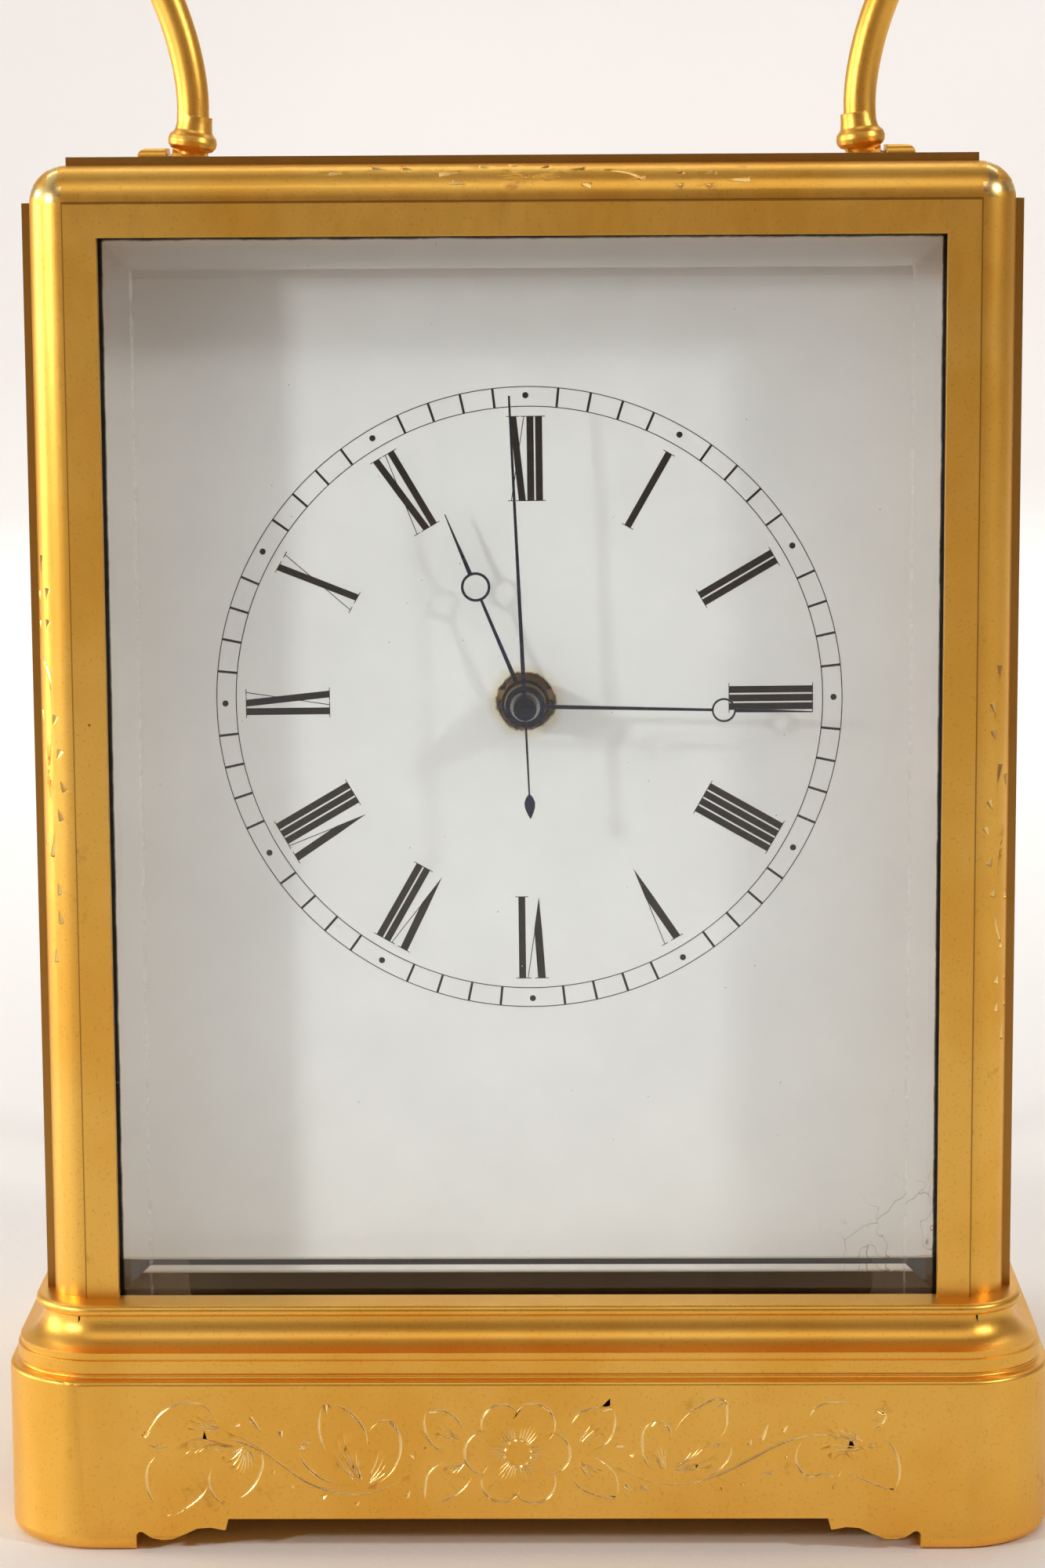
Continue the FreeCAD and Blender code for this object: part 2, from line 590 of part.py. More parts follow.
def case_openings():
    low = GLASS_FOOT_Z
    front = box(-OPEN_HALF_W, OPEN_HALF_W, -WIDE, 0, low, OPEN_TOP)
    sides = box(-WIDE, WIDE, -OPEN_HALF_D, OPEN_HALF_D, low, OPEN_TOP)
    top = box(-TOP_OPEN_X, TOP_OPEN_X, -TOP_OPEN_Y, TOP_OPEN_Y, CAVITY_TOP - OVERRUN, WIDE)
    held_x = OPEN_HALF_W + GLASS_HOLD + FIT
    held_y = OPEN_HALF_D + GLASS_HOLD + FIT
    held_top = OPEN_TOP + GLASS_HOLD + FIT
    front_seat = box(-held_x, held_x, -GLASS_Y, 0, low, held_top)
    side_seat = box(-GLASS_X, GLASS_X, -held_y, held_y, low, held_top)
    top_seat = box(-TOP_OPEN_X - GLASS_HOLD - FIT, TOP_OPEN_X + GLASS_HOLD + FIT,
                   -TOP_OPEN_Y - GLASS_HOLD - FIT, TOP_OPEN_Y + GLASS_HOLD + FIT,
                   CAVITY_TOP - OVERRUN, FACE_Z - FRAME_LIP)
    cavity = box(-CAVITY_X, CAVITY_X, -CAVITY_Y, CAVITY_Y, POCKET_Z - OVERRUN, CAVITY_TOP)
    return [front, sides, top, front_seat, side_seat, top_seat, cavity]


def door_pocket():
    """The recess for the rear door and the way through it."""
    x = DOOR_HALF_W + DOOR_GAP
    pocket = box(-x, x, DOOR_Y0 - GAP, WIDE, DOOR_Z0 - DOOR_GAP, DOOR_Z1 + DOOR_GAP)
    through = box(-REAR_OPEN_X, REAR_OPEN_X, 0, WIDE, DOOR_Z0 + DOOR_REBATE, DOOR_Z1 - DOOR_REBATE)
    return [pocket, through]


def door_pin_places():
    low = DOOR_Z0 - DOOR_GAP
    high = DOOR_Z1 + DOOR_GAP
    return [(low - DOOR_PIN_LOW_SEAT, low + DOOR_GAP + DOOR_PIN_L),
            (high - DOOR_GAP - DOOR_PIN_L, high + DOOR_PIN_HIGH_SEAT)]


def handle_wells():
    cuts = []
    for side in (1, -1):
        x = side * HANDLE_FOOT_X
        half = BEAD_R + AIR
        knuckle = KNUCKLE_W / 2 + AIR
        cuts.append(box(x - half, x + half, -WELL_HALF_Y, WELL_HALF_Y, FACE_Z - WELL_DEPTH, WIDE))
        cuts.append(cross_rod(0, HANDLE_AXIS_Z, x - knuckle, x + knuckle, KNUCKLE_R + AIR))
    return cuts


LATCH_SHAFT_R = 0.7


def case_part():
    body = case_shell().cut(case_openings() + door_pocket())
    cuts = [post(DOOR_AXIS[0], DOOR_AXIS[1], z0, z1, DOOR_PIN_R + FIT) for z0, z1 in door_pin_places()]
    cuts += [post(x, y, 0, POCKET_Z + CASE_SCREW_GRIP, SCREW_R + FIT) for x, y in CASE_SCREWS]
    cuts += handle_wells()
    cuts += lug_seats()
    return body.cut(cuts)


CASE_SCREW_GRIP = 5.0
LUG_DEPTH = 3.0             # how far a lug is let into the top
LUG_HALF_Y = 2.6
LUG_ROUND = 0.9             # radius of its top edges as a share of its height
PIN_INSET = 0.3             # how far a pin stops short of its lug's outer face
PIN_REACH = 0.2             # how far it stops short of the knuckle's inner face
CLOSE = 0.01                # edges nearer than this lie on the same line


def lug_shape(side, grow):
    """Ear beside each handle foot, let into the top panel."""
    x0, x1 = sorted((side * (LUG_X - grow), side * (LUG_X + LUG_W + grow)))
    return box(x0, x1, -LUG_HALF_Y - grow, LUG_HALF_Y + grow, FACE_Z - LUG_DEPTH, FACE_Z + LUG_H)


def lug_seats():
    return [lug_shape(side, FIT) for side in (1, -1)]


def handle_lugs():
    lugs = []
    for side in (1, -1):
        ear = lug_shape(side, 0.0)
        top_edges = [e for e in ear.Edges
                     if min(v.Z for v in e.Vertexes) > FACE_Z + LUG_H - CLOSE
                     and max(abs(v.X) for v in e.Vertexes) > LUG_X + LUG_W - CLOSE]
        ear = ear.makeFillet(LUG_H * LUG_ROUND, top_edges)
        ear = ear.cut(cross_rod(0, HANDLE_AXIS_Z, -WIDE, WIDE, HANDLE_PIN_R + FIT))
        lugs.append(ear)
    return lugs


def handle_pins():
    pins = []
    for side in (1, -1):
        x0 = HANDLE_FOOT_X - KNUCKLE_W / 2 + PIN_REACH
        x1 = LUG_X + LUG_W - PIN_INSET
        a, b = sorted((side * x0, side * x1))
        pins.append(cross_rod(0, HANDLE_AXIS_Z, a, b, HANDLE_PIN_R))
    return pins


# Axis of one handle arm, from the foot to the middle of the grip: (beyond the foot, height over the axis).
ARM_PATH = ((-0.15, 2.5), (-0.4, 5.5), (0.1, 10.1), (0.8, 13.0), (2.0, 16.5), (3.4, 20.0), (4.4, 24.5),
            (3.7, 29.0), (0.6, 32.9), (-4.6, 34.7), (-12.0, HANDLE_HEIGHT), (-HANDLE_FOOT_X, HANDLE_HEIGHT))


def arm_sweep():
    half = [Vector(HANDLE_FOOT_X + x, 0, HANDLE_AXIS_Z + z) for x, z in ARM_PATH]
    mirror = [Vector(-p.x, 0, p.z) for p in reversed(half[:-1])]
    line = Part.BSplineCurve()
    line.interpolate(half + mirror)
    spine = Part.Wire(line.toShape())
    start = half[0]
    tangent = line.tangent(line.FirstParameter)[0]
    profile = Part.Wire(Part.makeCircle(HANDLE_ARM_R, start, tangent))
    return spine.makePipeShell([profile], True, False)


# Neck, bead and flare at the bottom of an arm: (radius, height over the pin).
FOOT_PROFILE = ((0.0, -0.2), (1.35, -0.2), (1.62, 0.5), (1.65, 0.85), (2.2, 1.05), (2.52, 1.45),
                (BEAD_R, 1.95), (2.48, 2.45), (2.1, 2.85), (1.98, 3.1), (1.86, 3.9), (1.8, 4.6),
                (0.0, 4.6))
FOOT_LEAN = 8.0             # degrees inwards


def foot_turning(side):
    """The turned foot of one arm, leaning with it."""
    ring = [Vector(r, 0, z) for r, z in FOOT_PROFILE]
    ring.append(ring[0])
    turned = Part.Face(Part.makePolygon(ring)).revolve(Vector(0, 0, 0), Vector(0, 0, 1), 360)
    turned.rotate(Vector(0, 0, 0), Vector(0, 1, 0), -side * FOOT_LEAN)
    turned.translate(Vector(side * HANDLE_FOOT_X, 0, HANDLE_AXIS_Z))
    return turned


def handle_part():
    pieces = [arm_sweep()]
    for side in (1, -1):
        x = side * HANDLE_FOOT_X
        pieces.append(foot_turning(side))
        pieces.append(cross_rod(0, HANDLE_AXIS_Z, x - KNUCKLE_W / 2, x + KNUCKLE_W / 2, KNUCKLE_R))
    body = join(pieces)
    holes = []
    for side in (1, -1):
        x0, x1 = sorted((side * (HANDLE_FOOT_X - KNUCKLE_W / 2 + PIN_REACH / 2), side * (LUG_X + OVERRUN)))
        holes.append(cross_rod(0, HANDLE_AXIS_Z, x0, x1, HANDLE_PIN_R + RUN))
    return body.cut(holes)


# ---- glasses -----------------------------------------------------------------------
def bevelled(half_w, height, thick):
    """A pane lying in X-Z, bevelled all round on its front (-Y) face."""
    flat_w = half_w - GLASS_BEVEL_W
    step = GLASS_BEVEL_H

    def ring(w, margin, y):
        points = [Vector(-w, y, margin), Vector(w, y, margin), Vector(w, y, height - margin),
                  Vector(-w, y, height - margin)]
        return Part.makePolygon(points + points[:1])

    back = Part.Face(ring(half_w, 0.0, step)).extrude(Vector(0, thick - step, 0))
    crown = Part.makeLoft([ring(half_w, 0.0, step), ring(flat_w, GLASS_BEVEL_W, 0.0)], True, True)
    return join([back, crown])


def front_glass():
    height = OPEN_TOP + GLASS_HOLD - GLASS_FOOT_Z - FIT
    pane = bevelled(OPEN_HALF_W + GLASS_HOLD, height, GLASS_THICK)
    pane.translate(Vector(0, -GLASS_Y + FIT, GLASS_FOOT_Z + FIT))
    return pane


def side_glass(side):
    height = OPEN_TOP + GLASS_HOLD - GLASS_FOOT_Z - FIT
    pane = bevelled(OPEN_HALF_D + GLASS_HOLD, height, GLASS_THICK)
    pane.rotate(Vector(0, 0, 0), Vector(0, 0, 1), side * 90)
    pane.translate(Vector(side * (GLASS_X - FIT), 0, GLASS_FOOT_Z + FIT))
    return pane


def top_glass():
    depth = 2 * (TOP_OPEN_Y + GLASS_HOLD)
    pane = bevelled(TOP_OPEN_X + GLASS_HOLD, depth, GLASS_THICK)
    pane.rotate(Vector(0, 0, 0), Vector(1, 0, 0), -90)
    pane.translate(Vector(0, -depth / 2, FACE_Z - FRAME_LIP - FIT))
    return pane


# ---- rear door ---------------------------------------------------------------------
def rear_door():
    x = DOOR_HALF_W
    body = box(-x, DOOR_AXIS[0], DOOR_Y0, DOOR_Y1, DOOR_Z0, DOOR_Z1)
    hinge_edge = post(DOOR_AXIS[0], DOOR_AXIS[1], DOOR_Z0, DOOR_Z1, DOOR_THICK / 2)
    body = join([body, hinge_edge])
    inner = x - DOOR_STILE
    window = box(-inner, inner, 0, WIDE, DOOR_Z0 + DOOR_STILE, DOOR_Z1 - DOOR_STILE)
    seat = box(-inner - GLASS_HOLD - FIT, inner + GLASS_HOLD + FIT, 0, DOOR_Y1 - FRAME_LIP,
               DOOR_Z0 + DOOR_STILE - GLASS_HOLD - FIT, DOOR_Z1 - DOOR_STILE + GLASS_HOLD + FIT)
    cuts = [window, seat, rod((LATCH_X, LATCH_Z), 0, WIDE, LATCH_SHAFT_R + RUN)]
    cuts += [post(DOOR_AXIS[0], DOOR_AXIS[1], z0 - OVERRUN, z1 + OVERRUN, DOOR_PIN_R + RUN)
             for z0, z1 in door_pin_places()]
    return body.cut(cuts)


def rear_glass():
    inner = DOOR_HALF_W - DOOR_STILE + GLASS_HOLD
    z0 = DOOR_Z0 + DOOR_STILE - GLASS_HOLD
    height = DOOR_Z1 - DOOR_STILE + GLASS_HOLD - z0
    pane = bevelled(inner, height, REAR_GLASS_THICK)
    pane.rotate(Vector(0, 0, 0), Vector(0, 0, 1), 180)
    pane.translate(Vector(0, DOOR_Y1 - FRAME_LIP - FIT, z0))
    return pane


REAR_GLASS_THICK = 1.9
LATCH_HALF = 0.9
LATCH_REACH = 3.3
LATCH_THICK = 0.6
LATCH_Y = DOOR_Y0 - GAP - DOOR_FLANGE - 0.75
LATCH_TAIL = 0.4            # shaft beyond the turning bar
KNOB_ROOT = 0.5
KNOB_PROFILE = ((0.0, 0.15), (1.3, 0.15), (0.9, 0.8), (1.7, 1.6), (2.0, 2.4), (1.7, 3.2),
                (0.8, 3.6), (0.0, 3.7))


def door_knob():
    spot = (LATCH_X, LATCH_Z)
    shaft = rod(spot, LATCH_Y - LATCH_TAIL, DOOR_Y1 + KNOB_ROOT, LATCH_SHAFT_R)
    ring = [Vector(r, y, 0) for r, y in KNOB_PROFILE]
    knob = Part.Face(Part.makePolygon(ring + ring[:1])).revolve(Vector(0, 0, 0), Vector(0, 1, 0), 360)
    knob.translate(Vector(LATCH_X, DOOR_Y1, LATCH_Z))
    return join([shaft, knob])


def door_latch():
    """Turning bar; a quarter turn carries it sideways behind the case's flange."""
    bar = box(LATCH_X - LATCH_HALF, LATCH_X + LATCH_HALF, LATCH_Y, LATCH_Y + LATCH_THICK,
              LATCH_Z - LATCH_HALF, LATCH_Z + LATCH_REACH)
    return bar.cut(rod((LATCH_X, LATCH_Z), 0, WIDE, LATCH_SHAFT_R + FIT))


# ---- dial --------------------------------------------------------------------------
DIAL_FEET = [(sx * 32.0, z) for sx in (1, -1) for z in (38.0, 98.0)]
DIAL_FOOT_R = 1.1
DIAL_FOOT_FLANGE = 0.5
DIAL_FOOT_END = 1.5         # how far a foot passes the front plate
DIAL_EDGE = 0.5


def dial_part():
    body = box(-DIAL_HALF_W, DIAL_HALF_W, DIAL_Y, DIAL_BACK, DIAL_BOTTOM, DIAL_TOP)
    face = [e for e in body.Edges if max(v.Y for v in e.Vertexes) < DIAL_Y + CLOSE]
    body = body.makeFillet(DIAL_EDGE, face)
    return body.cut(rod(HUB, DIAL_Y - OVERRUN, DIAL_BACK + OVERRUN, DIAL_HOLE_R))


def dial_feet():
    feet = []
    for spot in DIAL_FEET:
        foot = join([rod(spot, DIAL_BACK + FIT, FP_FRONT - FIT, DIAL_FOOT_R + DIAL_FOOT_FLANGE),
                     rod(spot, FP_FRONT - FIT, FP_BACK + DIAL_FOOT_END, DIAL_FOOT_R)])
        feet.append(foot)
    return feet


# ---- movement frame ----------------------------------------------------------------
PILLARS = [(sx * PILLAR_X, z) for sx in (1, -1) for z in (PILLAR_LOW, PILLAR_HIGH)]
PIVOTED = [THIRD, CONTRATE, INTER]
BARREL_ARBOR_R = 2.2
PLATE_CORNER = 1.5
STUD_R = 0.8
TUBE_FLANGE = 0.6


def blank_plate(y0):
    body = box(-PLATE_HALF_W, PLATE_HALF_W, y0, y0 + PLATE_THICK, PLATE_BOTTOM, PLATE_TOP)
    corners = [e for e in body.Edges if abs(e.Vertexes[0].Y - e.Vertexes[-1].Y) > PLATE_THICK / 2]
    return body.makeFillet(PLATE_CORNER, corners)


def front_plate():
    y0 = FP_FRONT - OVERRUN
    y1 = FP_BACK + OVERRUN
    cuts = [rod(spot, y0, y1, PIVOT_R + RUN) for spot in PIVOTED]
    cuts += [rod(DRIVE, y0, y1, ARBOR_R + RUN), rod(SETTER, y0, y1, ARBOR_R + RUN)]
    cuts += [rod(BARREL, y0, y1, BARREL_ARBOR_R + RUN), rod(HUB, y0, y1, TUBE_R + TUBE_FLANGE + FIT)]
    cuts += [rod(STUD, y0, y1, STUD_R + FIT)]
    cuts += [rod(spot, y0, y1, SCREW_R + FIT) for spot in PILLARS]
    cuts += [rod(spot, y0, y1, DIAL_FOOT_R + FIT) for spot in DIAL_FEET]
    cuts += platform_taps()
    return blank_plate(FP_FRONT).cut(cuts)


def back_plate():
    y0 = BP_FRONT - OVERRUN
    y1 = BP_BACK + OVERRUN
    cuts = [rod(spot, y0, y1, PIVOT_R + RUN) for spot in PIVOTED + [DRIVE]]
    cuts += [rod(HUB, y0, y1, SECONDS_R + RUN), rod(SETTER, y0, y1, ARBOR_R + RUN)]
    cuts += [rod(BARREL, y0, y1, BARREL_ARBOR_R + RUN)]
    cuts += [rod(spot, y0, y1, SCREW_R + FIT) for spot in PILLARS]
    cuts += [rod(CLICK_AT, y0, y1, CLICK_SCREW_R + FIT), rod(SPRING_AT, y0, y1, CLICK_SCREW_R + FIT)]
    cuts += platform_taps()
    return blank_plate(BP_FRONT).cut(cuts)


def movement_pillars():
    pillars = []
    for spot in PILLARS:
        body = rod(spot, FP_BACK + FIT, BP_FRONT - FIT, PILLAR_R)
        collars = [rod(spot, FP_BACK + FIT, FP_BACK + PILLAR_COLLAR_L, PILLAR_R + PILLAR_COLLAR),
                   rod(spot, BP_FRONT - PILLAR_COLLAR_L, BP_FRONT - FIT, PILLAR_R + PILLAR_COLLAR)]
        body = join([body] + collars)
        bore = PILLAR_SCREW_GRIP + PILLAR_DRILL
        cuts = [rod(spot, FP_BACK, FP_BACK + bore, SCREW_R + FIT),
                rod(spot, BP_FRONT - bore, BP_FRONT, SCREW_R + FIT)]
        if spot[1] == PILLAR_LOW:
            y = (FP_BACK + BP_FRONT) / 2
            cuts.append(post(spot[0], y, spot[1] - WIDE, spot[1] + FOOT_SCREW_GRIP, SCREW_R + FIT))
        pillars.append(body.cut(cuts))
    return pillars


PILLAR_SCREW_GRIP = 5.0
PILLAR_COLLAR_L = 2.0
PILLAR_COLLAR = 0.8         # how far a collar stands out
PILLAR_DRILL = 0.4          # hole past a screw's end
FOOT_SCREW_GRIP = 1.4
CLICK_SCREW_R = 0.9
SCREW_RIM = 1.1             # head of a plate screw beyond its shank
PLATE_SLOT = 0.25           # half width of its slot
SLOT_DEPTH = 0.6            # how deep the slot stops, as a share of the head


def plate_screw(spot, y_face, direction, grip, radius):
    """A cheese-headed screw driven along Y into a plate; direction is +1 towards +Y."""
    head_y = sorted((y_face - direction * SCREW_HEAD_H, y_face))
    shank_y = sorted((y_face, y_face + direction * grip))
    head = rod(spot, head_y[0], head_y[1], radius + SCREW_RIM)
    slot_y = sorted((y_face - direction * SCREW_HEAD_H * 2, y_face - direction * SCREW_HEAD_H * SLOT_DEPTH))
    slot = box(spot[0] - WIDE, spot[0] + WIDE, slot_y[0], slot_y[1], spot[1] - PLATE_SLOT,
               spot[1] + PLATE_SLOT)
    return join([head, rod(spot, shank_y[0], shank_y[1], radius)]).cut(slot)


def plate_screws():
    screws = []
    for spot in PILLARS:
        screws.append(plate_screw(spot, FP_FRONT - FIT, 1, PLATE_THICK + PILLAR_SCREW_GRIP, SCREW_R))
        screws.append(plate_screw(spot, BP_BACK + FIT, -1, PLATE_THICK + PILLAR_SCREW_GRIP, SCREW_R))
    screws.append(plate_screw(CLICK_AT, CLICK_Y1 + GAP, -1, CLICK_Y1 - BP_FRONT, CLICK_SCREW_R))
    screws.append(plate_screw(SPRING_AT, CLICK_Y1 + FIT, -1, CLICK_Y1 - BP_FRONT, CLICK_SCREW_R))
    return screws


# ---- going barrel ------------------------------------------------------------------
DRUM_R = 17.2
DRUM_WALL = 1.2
CAP_THICK = 1.4
RATCHET_R = 6.4
RATCHET_Y0 = BP_BACK + GAP
RATCHET_THICK = 1.4
CLICK_Y0 = RATCHET_Y0
CLICK_Y1 = RATCHET_Y0 + RATCHET_THICK
CLICK_TURN = 65.0
CLICK_AT = towards(BARREL, CLICK_TURN, RATCHET_R + 5.2)
SPRING_AT = towards(BARREL, CLICK_TURN + 62.0, RATCHET_R + 7.0)


def barrel_part():
    """Open drum with the great wheel around its back end."""
    teeth = plate_from(wheel_outline(BARREL, BARREL_TEETH, BARREL_MODULE), GREAT_Y1 - GREAT_THICK,
                       GREAT_Y1)
    drum = rod(BARREL, DRUM_Y0, GREAT_Y1, DRUM_R)
    body = join([teeth, drum])
    inside = rod(BARREL, DRUM_Y0 - OVERRUN, GREAT_Y1 - DRUM_WALL, DRUM_R - DRUM_WALL)
    cap_seat = rod(BARREL, DRUM_Y0 - OVERRUN, DRUM_Y0 + CAP_THICK, DRUM_R - DRUM_WALL / 2)
    return body.cut([inside, cap_seat, rod(BARREL, 0, WIDE, BARREL_ARBOR_R + RUN)])


def barrel_cap():
    return tube(BARREL, DRUM_Y0, DRUM_Y0 + CAP_THICK - FIT, DRUM_R - DRUM_WALL / 2 - FIT,
                BARREL_ARBOR_R + RUN)


def spiral_strip(centre, inner, outer, turns, steps, strip, start):
    """Outline of a spiral strip; steps is the number of points to a turn, start an angle in radians."""
    count = int(turns * steps)
    sides = ([], [])
    for i in range(count + 1):
        share = i / count
        r = inner + (outer - inner) * share
        a = 2 * math.pi * turns * share + start
        for offset, row in zip((-strip / 2, strip / 2), sides):
            row.append((centre[0] + (r + offset) * math.cos(a), centre[1] + (r + offset) * math.sin(a)))
    return sides[0] + list(reversed(sides[1]))


def mainspring():
    """A flat spiral strip, its outer turns resting against the drum."""
    outline = spiral_strip(BARREL, BARREL_ARBOR_R + MAINSPRING_EYE, DRUM_R - DRUM_WALL - SPRING_STRIP,
                           MAINSPRING_TURNS, MAINSPRING_STEPS, SPRING_STRIP, 0.0)
    return plate_from(outline, DRUM_Y0 + CAP_THICK + AIR, GREAT_Y1 - DRUM_WALL - AIR)


SPRING_STRIP = 0.35
MAINSPRING_EYE = 1.4        # room between the arbor and the first turn
MAINSPRING_TURNS = 9.0
MAINSPRING_STEPS = 30
ARBOR_COLLAR = 0.8          # how far the barrel arbor's collars stand out
SQUARE = 2.5
SQUARE_END = BP_BACK + 8.5


def squared_end(centre, y0, y1, side, turn=45.0):
    square = box(-side / 2, side / 2, y0, y1, -side / 2, side / 2)
    square.rotate(Vector(0, 0, 0), Vector(0, 1, 0), turn)
    square.translate(Vector(centre[0], 0, centre[1]))
    return square


def barrel_arbor():
    shaft = rod(BARREL, FP_FRONT + FIT, BP_BACK + GAP / 2, BARREL_ARBOR_R)
    boss = rod(BARREL, DRUM_Y0 + CAP_THICK + GAP, GREAT_Y1 - DRUM_WALL - GAP, BARREL_ARBOR_R + ARBOR_COLLAR)
    collars = [rod(BARREL, FP_BACK + GAP, DRUM_Y0 - GAP, BARREL_ARBOR_R + ARBOR_COLLAR),
               rod(BARREL, GREAT_Y1 + GAP, BP_FRONT - GAP, BARREL_ARBOR_R + ARBOR_COLLAR)]
    square = squared_end(BARREL, BP_BACK, SQUARE_END, SQUARE)
    return join([shaft, boss, square] + collars)


RATCHET_TOOTH = 0.8         # depth of a ratchet tooth
RATCHET_RAKE = 0.08         # how far its steep flank leans, as a share of the pitch


def ratchet_wheel():
    points = []
    pitch = 360.0 / RATCHET_TEETH
    for i in range(RATCHET_TEETH):
        points.append(towards(BARREL, i * pitch, RATCHET_R - RATCHET_TOOTH))
        points.append(towards(BARREL, (i + RATCHET_RAKE) * pitch, RATCHET_R))
    wheel = plate_from(points, RATCHET_Y0, RATCHET_Y0 + RATCHET_THICK)
    return wheel.cut(squared_end(BARREL, BP_BACK - OVERRUN, SQUARE_END, SQUARE + 2 * FIT))


# Corners of the pawl: (degrees on from its screw's direction, distance beyond the ratchet's tips).
CLICK_NOSE = (36.0, 0.12)
CLICK_BACK = (36.0, 1.6)
CLICK_LOW = (12.0, 2.9)
CLICK_EYE = 2.1             # radius round its screw
CLICK_ROOT_R = 1.9
CLICK_ROOTS = (100.0, 205.0)
CLICK_TIP = (30.0, 2.9)     # where the spring's end rests
LEAF_START = 1.0            # the leaf spring: where it leaves its foot, and its half widths
LEAF_HALF = (0.25, 0.15)
LEAF_INSET = 0.2


def round_ratchet(place):
    return towards(BARREL, CLICK_TURN + place[0], RATCHET_R + place[1])


def click_part():
    """Pawl held just clear of the ratchet teeth, on its own screw."""
    high, root = (towards(CLICK_AT, CLICK_TURN + turn, CLICK_ROOT_R) for turn in CLICK_ROOTS)
    outline = [round_ratchet(CLICK_NOSE), round_ratchet(CLICK_BACK), high, CLICK_AT, root,
               round_ratchet(CLICK_LOW)]
    body = join([plate_from(outline, CLICK_Y0, CLICK_Y1), rod(CLICK_AT, CLICK_Y0, CLICK_Y1, CLICK_EYE)])
    return body.cut(rod(CLICK_AT, BP_BACK, WIDE, CLICK_SCREW_R + RUN))


def click_spring():
    foot = rod(SPRING_AT, CLICK_Y0 - GAP + FIT, CLICK_Y1, CLICK_ROOT_R)
    tip = round_ratchet(CLICK_TIP)
    line = heading(SPRING_AT, tip)
    near = towards(SPRING_AT, line, LEAF_START)
    outline = [towards(near, line + 90.0, LEAF_HALF[0]), towards(near, line - 90.0, LEAF_HALF[0]),
               towards(tip, line - 90.0, LEAF_HALF[1]), towards(tip, line + 90.0, LEAF_HALF[1])]
    leaf = plate_from(outline, CLICK_Y0 + LEAF_INSET, CLICK_Y1 - LEAF_INSET)
    return join([foot, leaf]).cut(rod(SPRING_AT, BP_BACK - OVERRUN, WIDE, CLICK_SCREW_R + FIT))


# ---- train -------------------------------------------------------------------------
PIVOT_INSET = 0.4           # a pivot's end within its plate's outer face
COLLAR_L = 1.2
COLLAR_R = 1.6
SLIM_COLLAR_R = 1.5
SECONDS_BODY_R = 0.8


def arbor(centre, pinions, y0=FP_FRONT + PIVOT_INSET):
    """Steel arbor with its pivots and the pinions cut on it; y0 is its front end."""
    pivots = rod(centre, y0, BP_BACK - PIVOT_INSET, PIVOT_R)
    return join([pivots, rod(centre, FP_BACK + GAP, BP_FRONT - GAP, ARBOR_R)] + pinions)


def seat_collar(centre, y, radius):
    """Shoulder on the arbor that the wheel is riveted against."""
    return rod(centre, y, y + COLLAR_L, radius)


INTER_PINION_Y = GREAT_Y1 - GREAT_THICK - LEAF_MARGIN
DRIVE_PINION_Y = INTER_WHEEL_Y - LEAF_MARGIN
THIRD_PINION_Y = DRIVE_WHEEL_Y - LEAF_MARGIN
SECONDS_PINION_Y = THIRD_WHEEL_Y - LEAF_MARGIN


def intermediate_wheel():
    return crossed_wheel(INTER, INTER_TEETH, INTER_MODULE, INTER_WHEEL_Y, INTER_WHEEL_Y + WHEEL_THICK,
                         ARBOR_R + FIT)


def intermediate_arbor():
    pinion = pinion_at(BARREL, BARREL_TEETH, INTER, INTER_PINION, BARREL_MODULE, INTER_PINION_Y,
                       GREAT_Y1 + LEAF_MARGIN)
    collar = seat_collar(INTER, INTER_WHEEL_Y + WHEEL_THICK + FIT, COLLAR_R)
    return arbor(INTER, [pinion, collar])


def drive_wheel():
    return crossed_wheel(DRIVE, DRIVE_TEETH, TRAIN_MODULE, DRIVE_WHEEL_Y, DRIVE_WHEEL_Y + WHEEL_THICK,
                         ARBOR_R + FIT)


def drive_arbor():
    y1 = INTER_WHEEL_Y + WHEEL_THICK + LEAF_MARGIN
    pinion = pinion_at(INTER, INTER_TEETH, DRIVE, DRIVE_PINION, INTER_MODULE, DRIVE_PINION_Y, y1)
    front = pinion_at(STUD, MINUTE_TEETH, DRIVE, CANNON_TEETH, MOTION_MODULE, MOTION_Y - LEAF_MARGIN,
                      FP_FRONT - GAP)
    through = rod(DRIVE, MOTION_Y - LEAF_MARGIN, FP_BACK + 2 * GAP, ARBOR_R)
    collar = seat_collar(DRIVE, DRIVE_WHEEL_Y + WHEEL_THICK + FIT, COLLAR_R)
    return arbor(DRIVE, [pinion, front, through, collar], y0=FP_BACK + GAP)


def third_wheel():
    return crossed_wheel(THIRD, THIRD_TEETH, TRAIN_MODULE, THIRD_WHEEL_Y, THIRD_WHEEL_Y + WHEEL_THICK,
                         ARBOR_R + FIT)


def third_arbor():
    pinion = pinion_at(DRIVE, DRIVE_TEETH, THIRD, THIRD_PINION, TRAIN_MODULE, THIRD_PINION_Y,
                       DRIVE_WHEEL_Y + WHEEL_THICK + LEAF_MARGIN)
    collar = seat_collar(THIRD, THIRD_WHEEL_Y + WHEEL_THICK + FIT, SLIM_COLLAR_R)
    return arbor(THIRD, [pinion, collar])


def seconds_arbor():
    pinion = pinion_at(THIRD, THIRD_TEETH, HUB, SECONDS_PINION, TRAIN_MODULE, SECONDS_PINION_Y,
                       THIRD_WHEEL_Y + WHEEL_THICK + LEAF_MARGIN)
    shaft = rod(HUB, SECONDS_HAND_Y + HAND_THICK, BP_BACK - PIVOT_INSET, SECONDS_R)
    body = rod(HUB, FP_BACK + COLLAR_L, BP_FRONT - GAP, SECONDS_BODY_R)
    return join([shaft, body, pinion])


